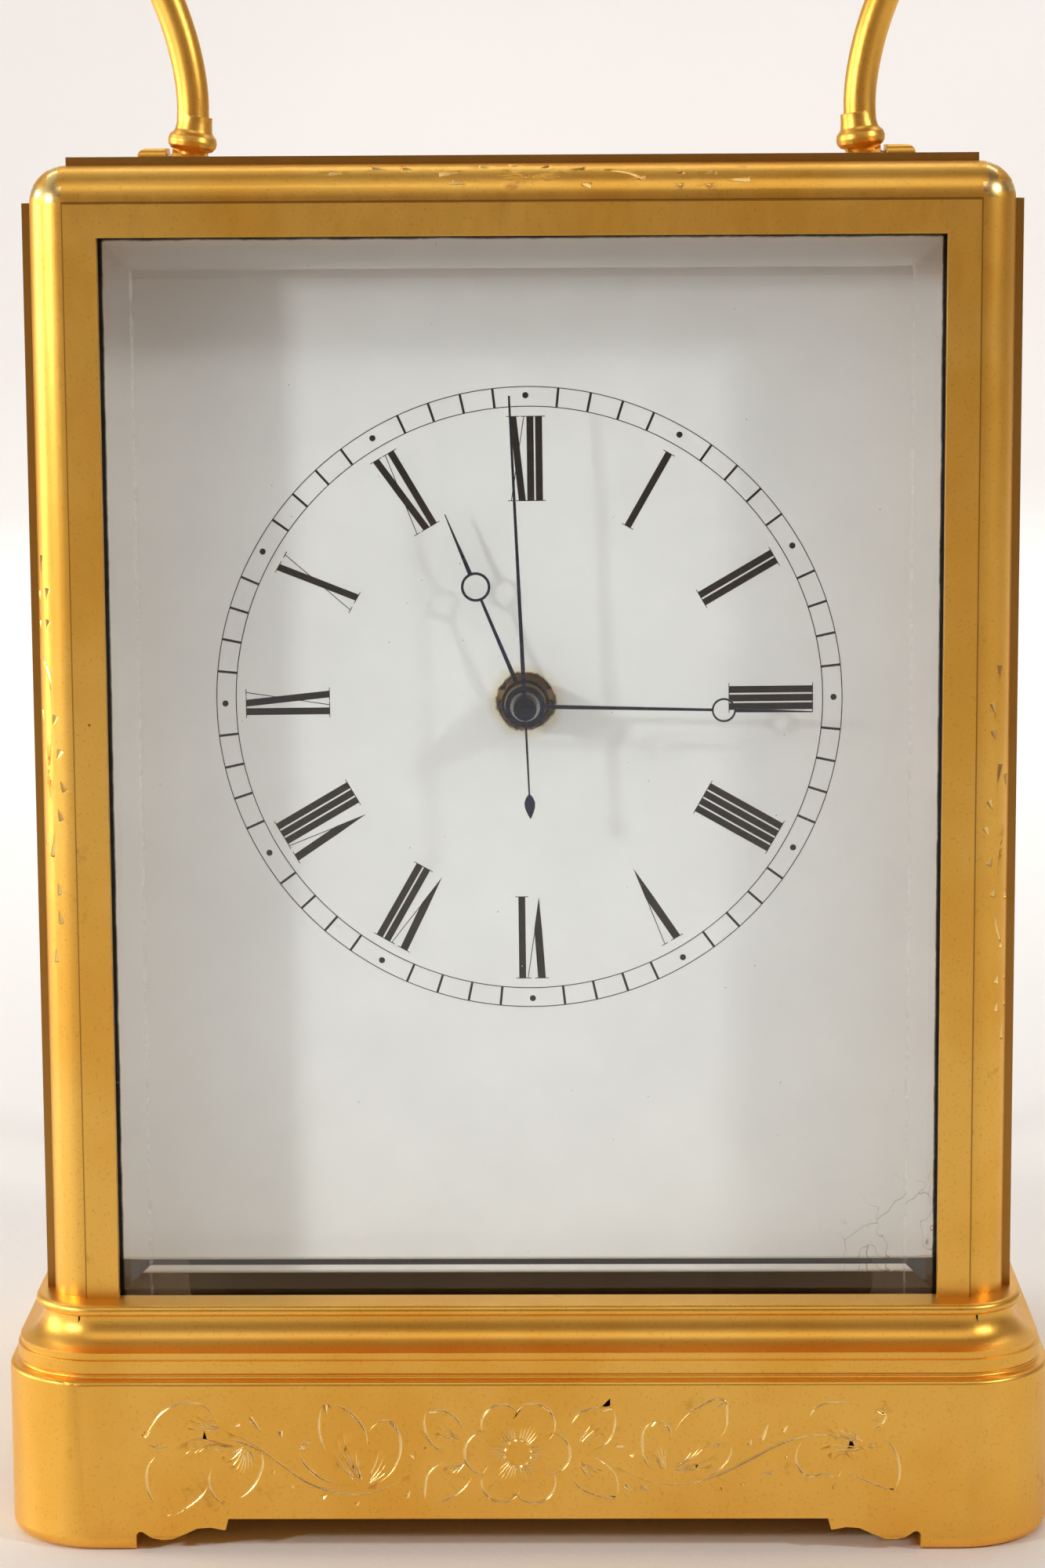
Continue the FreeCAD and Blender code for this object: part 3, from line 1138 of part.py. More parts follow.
CONTRATE_MODULE = 0.25
CONTRATE_R = CONTRATE_TEETH * CONTRATE_MODULE / 2
CONTRATE_FACE = 1.2
CONTRATE_TOOTH = 0.5
CONTRATE_BAND = 1.4
CONTRATE_RIM = 0.7
CONTRATE_HUB_R = 2.4
CONTRATE_ARMS = 4
CONTRATE_ARM_W = 1.1
CROWN_FOOT = 0.27           # half width of a crown tooth at its foot, over the pitch
CROWN_TIP = 0.11
CROWN_Y = CONTRATE_Y + WHEEL_THICK + CONTRATE_BAND


def contrate_wheel():
    """Flat crossed wheel with a crown of teeth pointing backwards."""
    outer = CONTRATE_R + CONTRATE_FACE / 2
    inner = CONTRATE_R - CONTRATE_FACE / 2
    disc = rod(CONTRATE, CONTRATE_Y, CONTRATE_Y + WHEEL_THICK, outer)
    windows = crossings(CONTRATE, CONTRATE_Y, CONTRATE_Y + WHEEL_THICK, inner - CONTRATE_RIM,
                        CONTRATE_HUB_R, CONTRATE_ARMS, CONTRATE_ARM_W)
    disc = disc.cut(windows)
    band = tube(CONTRATE, CONTRATE_Y + WHEEL_THICK - FIT, CROWN_Y, outer, inner)
    pitch = math.pi * CONTRATE_MODULE
    foot = pitch * CROWN_FOOT
    tip = pitch * CROWN_TIP
    low = CROWN_Y - FIT
    high = CROWN_Y + CONTRATE_TOOTH
    section = [Vector(-foot, low, inner), Vector(foot, low, inner), Vector(tip, high, inner),
               Vector(-tip, high, inner), Vector(-foot, low, inner)]
    pieces = [band]
    for i in range(CONTRATE_TEETH):
        tooth = Part.Face(Part.makePolygon(section)).extrude(Vector(0, 0, CONTRATE_FACE - FIT))
        tooth.rotate(Vector(0, 0, 0), Vector(0, 1, 0), 360.0 * i / CONTRATE_TEETH)
        tooth.translate(Vector(CONTRATE[0], 0, CONTRATE[1]))
        pieces.append(tooth)
    return join([disc] + pieces).cut(rod(CONTRATE, -WIDE, WIDE, ARBOR_R + FIT))


def contrate_arbor():
    pinion = pinion_at(THIRD, THIRD_TEETH, CONTRATE, SECONDS_PINION, TRAIN_MODULE, SECONDS_PINION_Y,
                       THIRD_WHEEL_Y + WHEEL_THICK + LEAF_MARGIN)
    collar = seat_collar(CONTRATE, CONTRATE_Y - COLLAR_L - FIT, SLIM_COLLAR_R)
    return arbor(CONTRATE, [pinion, collar])


# ---- motion work -------------------------------------------------------------------
TUBE_LEAD = 0.7             # how far each pipe passes the front of its hand
PIPE_LEAD = 0.4
TUBE_TAIL = 0.9
STUD_LEAD = 0.6
STUD_COLLAR_R = 1.5
HOUR_PIPE_TAIL = 0.3
MOTION_ARMS = 4
SETTER_MARGIN = 0.2
SETTER_TAIL = 0.6
SETTER_SQUARE = 1.7
SETTER_SQUARE_FROM = 0.4
SETTER_SQUARE_SHORT = 1.0   # how much sooner its square ends than the winding square


def centre_tube():
    """Fixed pipe around the seconds arbor that the cannon turns on."""
    pipe = tube(HUB, MINUTE_HAND_Y - TUBE_LEAD, FP_BACK + TUBE_TAIL, TUBE_R, SECONDS_R + RUN)
    flange = tube(HUB, FP_FRONT + FIT, FP_BACK + TUBE_TAIL, TUBE_R + TUBE_FLANGE, SECONDS_R + RUN)
    return join([pipe, flange])


def cannon_pinion():
    pinion = pinion_at(STUD, MINUTE_TEETH, HUB, CANNON_TEETH, MOTION_MODULE, MOTION_Y - LEAF_MARGIN,
                       FP_FRONT - GAP)
    pipe = rod(HUB, MINUTE_HAND_Y - PIPE_LEAD, FP_FRONT - GAP, MINUTE_PIPE_R - FIT)
    return join([pinion, pipe]).cut(rod(HUB, -WIDE, WIDE, TUBE_R + RUN))


def minute_wheel():
    wheel = crossed_wheel(STUD, MINUTE_TEETH, MOTION_MODULE, MOTION_Y, MOTION_Y + MOTION_THICK,
                          STUD_R + RUN, MOTION_ARMS)
    leaves = pinion_at(HUB, HOUR_TEETH, STUD, MINUTE_PINION, HOUR_MODULE, HOUR_Y - LEAF_MARGIN, MOTION_Y)
    return join([wheel, leaves]).cut(rod(STUD, -WIDE, WIDE, STUD_R + RUN))


def minute_stud():
    pin = rod(STUD, HOUR_Y - LEAF_MARGIN - STUD_LEAD, FP_BACK - FIT, STUD_R)
    collar = rod(STUD, MOTION_Y + MOTION_THICK + GAP, FP_FRONT - FIT, STUD_COLLAR_R)
    return join([pin, collar])


def hour_wheel():
    wheel = crossed_wheel(HUB, HOUR_TEETH, HOUR_MODULE, HOUR_Y, HOUR_Y + HOUR_THICK,
                          MINUTE_PIPE_R + RUN, MOTION_ARMS)
    pipe = rod(HUB, HOUR_HAND_Y - PIPE_LEAD, HOUR_Y + HOUR_THICK + HOUR_PIPE_TAIL, HOUR_PIPE_R - FIT)
    return join([wheel, pipe]).cut(rod(HUB, -WIDE, WIDE, MINUTE_PIPE_R + RUN))


def hand_set_arbor():
    pinion = pinion_at(STUD, MINUTE_TEETH, SETTER, CANNON_TEETH, MOTION_MODULE, MOTION_Y - SETTER_MARGIN,
                       FP_FRONT - GAP)
    shaft = rod(SETTER, FP_FRONT - GAP, BP_BACK + SETTER_TAIL, ARBOR_R)
    collar = rod(SETTER, BP_FRONT - COLLAR_L, BP_FRONT - GAP, COLLAR_R)
    square = squared_end(SETTER, BP_BACK + SETTER_SQUARE_FROM, SQUARE_END - SETTER_SQUARE_SHORT,
                         SETTER_SQUARE)
    return join([pinion, shaft, collar, square])


# ---- platform escapement -----------------------------------------------------------
DECK_Z0 = PLATE_TOP + FIT
DECK_Z1 = DECK_Z0 + PLATFORM_THICK
DECK_X = (-10.0, 23.0)
ESCAPE_LEAF_R = ESCAPE_PINION * CONTRATE_MODULE / 2
ESCAPE_AT = (0.0, CROWN_Y + CONTRATE_TOOTH * 0.45 + ESCAPE_LEAF_R)
LEVER_REACH = 5.0
BALANCE_REACH = 12.5
LEVER_AT = (ESCAPE_AT[0] + LEVER_REACH, ESCAPE_AT[1])
BALANCE_AT = (ESCAPE_AT[0] + BALANCE_REACH, ESCAPE_AT[1])
ESCAPE_Z = DECK_Z1 + 1.0
ESCAPE_R = 2.85
STAFF_PIVOT = 0.12
JEWEL_R = 0.7
COCK_UNDER = ESCAPE_Z + 1.5
COCK_THICK = 0.9
BALANCE_Z = COCK_UNDER + COCK_THICK + 0.7
BALANCE_R = 7.6
BALANCE_RIM = 0.9
SPRING_Z = BALANCE_Z + 1.5
TOP_COCK_Z = SPRING_Z + 0.9
TOP_COCK_THICK = 1.3
PLATFORM_SCREW_R = 0.7
CROWN_Z = CONTRATE[1] + CONTRATE_R
POTENCE_Z0 = CROWN_Z - 2.9
POTENCE_Z1 = CROWN_Z - 1.6
PLATFORM_TAPS = [(x, y) for x in (DECK_X[0] + 2.2, DECK_X[1] - 2.2)
                 for y in ((FP_FRONT + FP_BACK) / 2, (BP_FRONT + BP_BACK) / 2)]
TRAIN_COCK_SCREW = (ESCAPE_AT[0] + 1.5, ESCAPE_AT[1] - 9.0)
TOP_COCK_SCREW = (BALANCE_AT[0] + 1.0, BALANCE_AT[1] + 12.5)
DECK_PIVOTS = [ESCAPE_AT, LEVER_AT, BALANCE_AT]
TAP_DEPTH = 4.0
DECK_CORNER = 1.2
POTENCE_HALF_W = 1.2        # bracket under the platform that carries the escape arbor's foot
POTENCE_Y = (-0.7, 2.2, 4.2)
ESCAPE_HOLE_R = 1.55
FOOT_PIVOT_R = STAFF_PIVOT + 0.1
SMALL_HEAD_H = 1.0
SMALL_HEAD_RIM = 0.7
SMALL_SLOT_HALF = 0.2
SMALL_SLOT_Z = (0.6, 2.0)
PLATFORM_SCREW_GRIP = 3.0
SCREW_STANDOFF = 0.2        # how far a cock screw stops above the platform's underside


def platform_taps():
    return [post(x, y, PLATE_TOP - TAP_DEPTH, PLATE_TOP + OVERRUN, PLATFORM_SCREW_R + FIT)
            for x, y in PLATFORM_TAPS]


def platform_part():
    body = box(DECK_X[0], DECK_X[1], FP_FRONT + AIR, BP_BACK - AIR, DECK_Z0, DECK_Z1)
    upright = [e for e in body.Edges if abs(e.Vertexes[0].Z - e.Vertexes[-1].Z) > PLATFORM_THICK / 2]
    body = body.makeFillet(DECK_CORNER, upright)
    x0, y0 = ESCAPE_AT
    near, knee, far = (y0 + y for y in POTENCE_Y)
    upright_arm = box(x0 - POTENCE_HALF_W, x0 + POTENCE_HALF_W, knee, far, POTENCE_Z0, DECK_Z0)
    bracket = box(x0 - POTENCE_HALF_W, x0 + POTENCE_HALF_W, near, far, POTENCE_Z0, POTENCE_Z1)
    cuts = [post(x, y, DECK_Z0 - OVERRUN, WIDE, PLATFORM_SCREW_R + FIT)
            for x, y in PLATFORM_TAPS + [TRAIN_COCK_SCREW, TOP_COCK_SCREW]]
    cuts += [post(x, y, DECK_Z0 - OVERRUN, WIDE, JEWEL_R + FIT) for x, y in DECK_PIVOTS[1:]]
    cuts.append(post(x0, y0, DECK_Z0 - OVERRUN, WIDE, ESCAPE_HOLE_R))
    body = join([body.cut(cuts), upright_arm, bracket])
    return body.cut(post(x0, y0, POTENCE_Z0 - OVERRUN, DECK_Z0, FOOT_PIVOT_R + RUN))


def down_screw(x, y, z_face, grip):
    head = post(x, y, z_face + FIT, z_face + FIT + SMALL_HEAD_H, PLATFORM_SCREW_R + SMALL_HEAD_RIM)
    slot = box(x - WIDE, x + WIDE, y - SMALL_SLOT_HALF, y + SMALL_SLOT_HALF, z_face + SMALL_SLOT_Z[0],
               z_face + SMALL_SLOT_Z[1])
    return join([head, post(x, y, z_face - grip, z_face + FIT, PLATFORM_SCREW_R)]).cut(slot)


def platform_screws():
    screws = [down_screw(x, y, DECK_Z1, PLATFORM_THICK + PLATFORM_SCREW_GRIP) for x, y in PLATFORM_TAPS]
    cocks = ((TRAIN_COCK_SCREW, COCK_UNDER + COCK_THICK), (TOP_COCK_SCREW, TOP_COCK_Z + TOP_COCK_THICK))
    for (x, y), top in cocks:
        screws.append(down_screw(x, y, top, top - DECK_Z0 - SCREW_STANDOFF))
    return screws


ESCAPE_BODY_R = 0.45
LEAF_OVER = 0.2             # how far the escape pinion passes the crown's teeth
PIVOT_SHORT = 0.2


def escape_arbor():
    """Vertical arbor; its pinion hangs below the platform in the contrate wheel's crown."""
    x, y = ESCAPE_AT
    leaves = leaf_outline(ESCAPE_AT, ESCAPE_PINION, CONTRATE_MODULE, -90.0 + 180.0 / ESCAPE_PINION)
    half = CONTRATE_FACE / 2 + LEAF_OVER
    pinion = sheet_from(leaves, CROWN_Z - half, CROWN_Z + half)
    body = post(x, y, POTENCE_Z1 + GAP, COCK_UNDER - GAP, ESCAPE_BODY_R)
    foot = post(x, y, POTENCE_Z0 + GAP, CROWN_Z, FOOT_PIVOT_R)
    head = post(x, y, COCK_UNDER - 2 * GAP, COCK_UNDER + COCK_THICK - PIVOT_SHORT, STAFF_PIVOT)
    return join([pinion, body, foot, head])


# One club tooth: (share of the pitch, share of the wheel's radius).
ESCAPE_TOOTH = ((0.0, 0.72), (0.18, 0.97), (0.36, 1.0), (0.3, 0.72))
ESCAPE_THICK = 0.45
ESCAPE_WINDOWS = 4
ESCAPE_WINDOW_AT = 0.42
ESCAPE_WINDOW_R = 0.48


def escape_wheel():
    pitch = 360.0 / ESCAPE_TEETH
    points = [towards(ESCAPE_AT, (i + along) * pitch, ESCAPE_R * share)
              for i in range(ESCAPE_TEETH) for along, share in ESCAPE_TOOTH]
    body = sheet_from(points, ESCAPE_Z, ESCAPE_Z + ESCAPE_THICK)
    cuts = [post(ESCAPE_AT[0], ESCAPE_AT[1], 0, WIDE, ESCAPE_BODY_R + FIT)]
    turn = 360.0 / ESCAPE_WINDOWS
    for i in range(ESCAPE_WINDOWS):
        spot = towards(ESCAPE_AT, turn * (i + 0.5), ESCAPE_R * ESCAPE_WINDOW_AT)
        cuts.append(post(spot[0], spot[1], 0, WIDE, ESCAPE_WINDOW_R))
    return body.cut(cuts)


LEVER_T = 0.4
PALLET_AT = (-3.2, 2.9)     # end of a pallet arm from the lever's arbor, on its +Y side
# One pallet arm on its +Y side, from the arbor, and one half of the forked stem.
PALLET_ARM = ((0.5, -0.3), (0.5, 0.6), (PALLET_AT[0] + 0.1, PALLET_AT[1] + 0.75),
              (PALLET_AT[0] - 0.3, PALLET_AT[1] + 0.2), (-1.1, 0.5))
FORK_SHORT = 1.0            # fork's tips short of the balance's axis
FORK_DEPTH = 0.6
FORK_HALF = 0.75
NOTCH_HALF = 0.2
STEM_HALF = (0.35, 0.22)
FORK_NECK = 1.0
LEVER_BODY_R = 0.4
LEVER_PIVOTS = (-0.4, 0.5)  # ends beyond the platform's top and the cock's underside
LEVER_BODY_RISE = 0.3


def lever_stem(x, y, z0):
    reach = x + BALANCE_REACH - LEVER_REACH - FORK_SHORT
    upper = [(x, STEM_HALF[0]), (reach - FORK_NECK, STEM_HALF[1]), (reach - FORK_DEPTH, FORK_HALF),
             (reach, FORK_HALF), (reach, NOTCH_HALF), (reach - FORK_DEPTH, NOTCH_HALF)]
    outline = [(px, y - half) for px, half in upper] + [(px, y + half) for px, half in reversed(upper)]
    return sheet_from(outline, z0, z0 + LEVER_T)


def lever_part():
    """Lever with two pallet arms and a notched fork, balanced about its own arbor."""
    x, y = LEVER_AT
    z0 = ESCAPE_Z
    arms = [sheet_from([(x + px, y + side * py) for px, py in PALLET_ARM], z0, z0 + LEVER_T)
            for side in (1, -1)]
    staff = post(x, y, DECK_Z1 + LEVER_PIVOTS[0], COCK_UNDER + LEVER_PIVOTS[1], STAFF_PIVOT)
    body = post(x, y, DECK_Z1 + LEVER_BODY_RISE, COCK_UNDER - GAP, LEVER_BODY_R)
    return join(arms + [lever_stem(x, y, z0), staff, body])


STONE_X = (-0.55, 0.35)     # a pallet stone along and across, from the end of its arm
STONE_Y = (0.35, 0.75)
STONE_H = 0.35


def pallet_stones():
    """Two ruby pallets set on the ends of the arms, just clear of the escape wheel's tips."""
    x = LEVER_AT[0] + PALLET_AT[0]
    low = ESCAPE_Z + LEVER_T + FIT
    stones = []
    for side in (1, -1):
        near, far = sorted(LEVER_AT[1] + side * (PALLET_AT[1] + reach) for reach in STONE_Y)
        stones.append(box(x + STONE_X[0], x + STONE_X[1], near, far, low, low + STONE_H))
    return stones


# The cocks: each foot's reach from its screw (left, right, front, back) and each arm's margins.
TRAIN_FOOT = (-3.0, 5.5, -2.0, 2.4)
TRAIN_ARM = (-1.5, 2.0, 1.6)
TOP_FOOT = (-4.5, 3.5, -2.4, 2.4)
TOP_ARM_HALF = 1.6
TOP_TABLE_R = 2.2
SPRING_STUD_AT = 4.75
SPRING_STUD_R = 0.22


def train_cock():
    """One cock over the escape and lever arbors, standing on the platform."""
    x, y = TRAIN_COCK_SCREW
    left, right, front, back = TRAIN_FOOT
    foot = box(x + left, x + right, y + front, y + back, DECK_Z1 + FIT, COCK_UNDER)
    arm = box(ESCAPE_AT[0] + TRAIN_ARM[0], LEVER_AT[0] + TRAIN_ARM[1], y + front,
              ESCAPE_AT[1] + TRAIN_ARM[2], COCK_UNDER, COCK_UNDER + COCK_THICK)
    cuts = [post(x, y, 0, WIDE, PLATFORM_SCREW_R + FIT)]
    cuts += [post(p[0], p[1], 0, WIDE, JEWEL_R + FIT) for p in (ESCAPE_AT, LEVER_AT)]
    return join([foot, arm]).cut(cuts)


RIM_H = 1.1
ARM_LOW = 0.1               # the balance's arm above the rim's underside, and its top
ARM_HIGH = 0.7
ARM_HALF = 0.55
ARM_HUB_R = 1.4
RIM_BITE = 0.3              # how far the arm and the timing screws enter the rim
TIMING_SCREWS = 12
TIMING_SCREW_R = 0.42
TIMING_SCREW_L = 0.9
STAFF_R = 0.55
STAFF_END = 0.3
ROLLER_R = 1.9
ROLLER_Z = (0.25, 0.75)     # over the lever's top
IMPULSE_AT = 0.82
IMPULSE_R = 0.13
IMPULSE_RISE = 0.3
HAIRSPRING_EYE = 0.85
HAIRSPRING_OUTER = 4.45
HAIRSPRING_TURNS = 7.0
HAIRSPRING_STEPS = 36
HAIRSPRING_STRIP = 0.12
HAIRSPRING_H = 0.3


def balance_wheel():
    x, y = BALANCE_AT
    rim = post(x, y, BALANCE_Z, BALANCE_Z + RIM_H, BALANCE_R)
    rim = rim.cut(post(x, y, 0, WIDE, BALANCE_R - BALANCE_RIM))
    reach = BALANCE_R - RIM_BITE
    arm = box(x - reach, x + reach, y - ARM_HALF, y + ARM_HALF, BALANCE_Z + ARM_LOW, BALANCE_Z + ARM_HIGH)
    arm = join([arm, post(x, y, BALANCE_Z + ARM_LOW, BALANCE_Z + ARM_HIGH, ARM_HUB_R)])
    screws = []
    turn = 360.0 / TIMING_SCREWS
    for i in range(TIMING_SCREWS):
        angle = turn * (i + 0.5)
        start = towards(BALANCE_AT, angle, reach)
        out = towards((0.0, 0.0), angle, 1.0)
        foot = Vector(start[0], start[1], BALANCE_Z + RIM_H / 2)
        screws.append(Part.makeCylinder(TIMING_SCREW_R, TIMING_SCREW_L, foot, Vector(out[0], out[1], 0)))
    body = join([rim, arm] + screws)
    return body.cut(post(x, y, 0, WIDE, STAFF_R + FIT))


def balance_staff():
    """Staff with its roller and impulse pin."""
    x, y = BALANCE_AT
    top = ESCAPE_Z + LEVER_T
    pivots = post(x, y, DECK_Z0 + STAFF_END, TOP_COCK_Z + TOP_COCK_THICK - STAFF_END, STAFF_PIVOT)
    body = post(x, y, DECK_Z1 + STAFF_END, TOP_COCK_Z - GAP, STAFF_R)
    roller = post(x, y, top + ROLLER_Z[0], top + ROLLER_Z[1], ROLLER_R)
    pin = post(x - IMPULSE_AT, y, ESCAPE_Z, top + IMPULSE_RISE, IMPULSE_R)
    return join([pivots, body, roller, pin])


def hairspring():
    outline = spiral_strip(BALANCE_AT, HAIRSPRING_EYE, HAIRSPRING_OUTER, HAIRSPRING_TURNS, HAIRSPRING_STEPS,
                           HAIRSPRING_STRIP, math.pi / 2)
    return sheet_from(outline, SPRING_Z, SPRING_Z + HAIRSPRING_H)


def balance_cock():
    x, y = TOP_COCK_SCREW
    left, right, front, back = TOP_FOOT
    foot = box(x + left, x + right, y + front, y + back, DECK_Z1 + FIT, TOP_COCK_Z)
    bx, by = BALANCE_AT
    outline = [(bx - TOP_ARM_HALF, by), (bx + TOP_ARM_HALF, by), (x + right, y + front),
               (x + right, y + back), (x + left, y + back), (x + left, y + front)]
    arm = sheet_from(outline, TOP_COCK_Z, TOP_COCK_Z + TOP_COCK_THICK)
    table = post(bx, by, TOP_COCK_Z, TOP_COCK_Z + TOP_COCK_THICK, TOP_TABLE_R)
    stud = post(bx, by + SPRING_STUD_AT, SPRING_Z, TOP_COCK_Z, SPRING_STUD_R)
    body = join([foot, arm, table, stud])
    return body.cut([post(x, y, 0, WIDE, PLATFORM_SCREW_R + FIT), post(bx, by, 0, WIDE, JEWEL_R + FIT)])


JEWEL_SETBACK = 0.4


def platform_jewels():
    """Pierced stones for the lever, balance and escape pivots."""
    jewels = []
    levels = [(LEVER_AT, DECK_Z0 + JEWEL_SETBACK, DECK_Z1), (BALANCE_AT, DECK_Z0 + JEWEL_SETBACK, DECK_Z1),
              (ESCAPE_AT, COCK_UNDER, COCK_UNDER + COCK_THICK),
              (LEVER_AT, COCK_UNDER, COCK_UNDER + COCK_THICK),
              (BALANCE_AT, TOP_COCK_Z, TOP_COCK_Z + TOP_COCK_THICK)]
    for (x, y), z0, z1 in levels:
        jewels.append(post(x, y, z0, z1, JEWEL_R).cut(post(x, y, 0, WIDE, STAFF_PIVOT + RUN / 2)))
    return jewels


REGULATOR_Z = TOP_COCK_Z + TOP_COCK_THICK + 0.06
REGULATOR_H = 0.45
REGULATOR_R = 1.9
REGULATOR_BORE = 0.95
POINTER = ((0.3, -1.5), (0.12, -6.6))   # half width, and how far towards the dial


def regulator():
    """Index that turns about the balance's axis on top of the cock."""
    x, y = BALANCE_AT
    top = REGULATOR_Z + REGULATOR_H
    ring = post(x, y, REGULATOR_Z, top, REGULATOR_R).cut(post(x, y, 0, WIDE, REGULATOR_BORE))
    (root_half, root), (tip_half, tip) = POINTER
    pointer = sheet_from([(x - root_half, y + root), (x + root_half, y + root), (x + tip_half, y + tip),
                          (x - tip_half, y + tip)], REGULATOR_Z, top)
    return join([ring, pointer])


# ---- write every piece -------------------------------------------------------------
CASE_SCREW_SHORT = 0.5      # room left at the bottom of a case screw's hole
MOVEMENT_SCREW_GRIP = 1.0


def case_screws():
    return [long_screw(x, y, POCKET_Z - BASE_DECK - FIT, POCKET_Z + CASE_SCREW_GRIP - CASE_SCREW_SHORT)
            for x, y in CASE_SCREWS]


def movement_screws():
    return [long_screw(x, y, POCKET_Z - BASE_DECK - FIT, PILLAR_LOW + MOVEMENT_SCREW_GRIP)
            for x, y in MOVEMENT_SCREWS]


def door_pins():
    return [post(DOOR_AXIS[0], DOOR_AXIS[1], z0 + FIT, z1 - FIT, DOOR_PIN_R) for z0, z1 in door_pin_places()]


PIECES = {
    "base": base_part, "case_body": case_part, "front_glass": front_glass,
    "left_glass": lambda: side_glass(-1), "right_glass": lambda: side_glass(1), "top_glass": top_glass,
    "rear_door": rear_door, "rear_glass": rear_glass, "door_pins": door_pins, "door_knob": door_knob,
    "door_latch": door_latch, "handle": handle_part, "handle_lugs": handle_lugs, "handle_pins": handle_pins,
    "case_screws": case_screws, "movement_screws": movement_screws, "dial": dial_part,
    "dial_feet": dial_feet, "hour_hand": hour_hand, "minute_hand": minute_hand, "seconds_hand": seconds_hand,
    "front_plate": front_plate, "back_plate": back_plate, "movement_pillars": movement_pillars,
    "plate_screws": plate_screws, "mainspring_barrel": barrel_part, "barrel_cap": barrel_cap,
    "mainspring": mainspring, "barrel_arbor": barrel_arbor, "ratchet_wheel": ratchet_wheel,
    "click": click_part, "click_spring": click_spring, "intermediate_wheel": intermediate_wheel,
    "intermediate_arbor": intermediate_arbor, "drive_wheel": drive_wheel, "drive_arbor": drive_arbor,
    "third_wheel": third_wheel, "third_arbor": third_arbor, "seconds_arbor": seconds_arbor,
    "contrate_wheel": contrate_wheel, "contrate_arbor": contrate_arbor, "centre_tube": centre_tube,
    "cannon_pinion": cannon_pinion, "minute_wheel": minute_wheel, "minute_stud": minute_stud,
    "hour_wheel": hour_wheel, "hand_set_arbor": hand_set_arbor, "platform": platform_part,
    "platform_screws": platform_screws, "escape_wheel": escape_wheel, "escape_arbor": escape_arbor,
    "train_cock": train_cock, "lever": lever_part, "pallet_stones": pallet_stones,
    "balance_wheel": balance_wheel, "balance_staff": balance_staff, "hairspring": hairspring,
    "balance_cock": balance_cock, "platform_jewels": platform_jewels, "regulator": regulator,
}
for piece_name, make in PIECES.items():
    save(piece_name, make())
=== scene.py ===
"""Carriage clock: gilt case, bevelled glasses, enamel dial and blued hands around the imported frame."""
import json
import math

import bpy
from mathutils import Matrix, Vector


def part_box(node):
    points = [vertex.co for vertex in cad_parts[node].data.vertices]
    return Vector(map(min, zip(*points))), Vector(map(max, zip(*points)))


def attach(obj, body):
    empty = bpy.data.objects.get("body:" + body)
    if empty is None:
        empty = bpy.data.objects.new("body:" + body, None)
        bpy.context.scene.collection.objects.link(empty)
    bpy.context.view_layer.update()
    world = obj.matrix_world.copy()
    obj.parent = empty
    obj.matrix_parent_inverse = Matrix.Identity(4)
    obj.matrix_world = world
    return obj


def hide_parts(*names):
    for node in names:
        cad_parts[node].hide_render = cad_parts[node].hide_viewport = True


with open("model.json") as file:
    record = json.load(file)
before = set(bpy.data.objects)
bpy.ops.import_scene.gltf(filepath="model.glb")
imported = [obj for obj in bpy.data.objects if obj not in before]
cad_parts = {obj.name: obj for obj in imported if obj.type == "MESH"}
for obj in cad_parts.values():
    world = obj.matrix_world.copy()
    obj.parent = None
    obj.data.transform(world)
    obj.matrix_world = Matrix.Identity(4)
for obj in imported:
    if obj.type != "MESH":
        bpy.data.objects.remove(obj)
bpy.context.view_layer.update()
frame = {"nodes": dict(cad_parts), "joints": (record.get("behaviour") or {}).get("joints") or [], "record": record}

# ---- places read from the frame, in metres -------------------------------------------
MM = 0.001
JOINTS = {joint["name"]: joint for joint in frame["joints"]}
HUB = Vector(JOINTS["minute_spin"]["pos_m"])
CASE_LOW, CASE_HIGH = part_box("case_body")
DIAL_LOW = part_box("dial")[0]
DIAL_FACE = DIAL_LOW.y

# ---- the printing on the dial, in metres ---------------------------------------------
PRINT_LIFT = 0.015 * MM      # how far the print stands on the enamel
DIAL_TILT = math.radians(-0.4)   # the plate sits a touch askew
DIAL_SHIFT = 0.35 * MM
TRACK_OUTER = 31.5 * MM
TRACK_INNER = 29.55 * MM
TRACK_LINE = 0.085 * MM
TICK_WIDTH = 0.24 * MM
DOT_AT = 30.6 * MM
DOT_RADIUS = 0.31 * MM
NUMERAL_TOP = 28.5 * MM
NUMERAL_FOOT = 20.1 * MM
BAR = 0.69 * MM
BAR_PITCH = 0.86 * MM
HAIR = 0.075 * MM
SERIF = 0.3 * MM
V_JOIN = 0.4                 # height at which the thin stroke of a V meets the thick one
V_TOP = 0.78 * MM            # width of its thick stroke
V_LEAN = 0.33 * MM
V_POINT = 0.62 * MM
V_WIDTH = 1.80 * MM
V_AFTER = 0.20 * MM


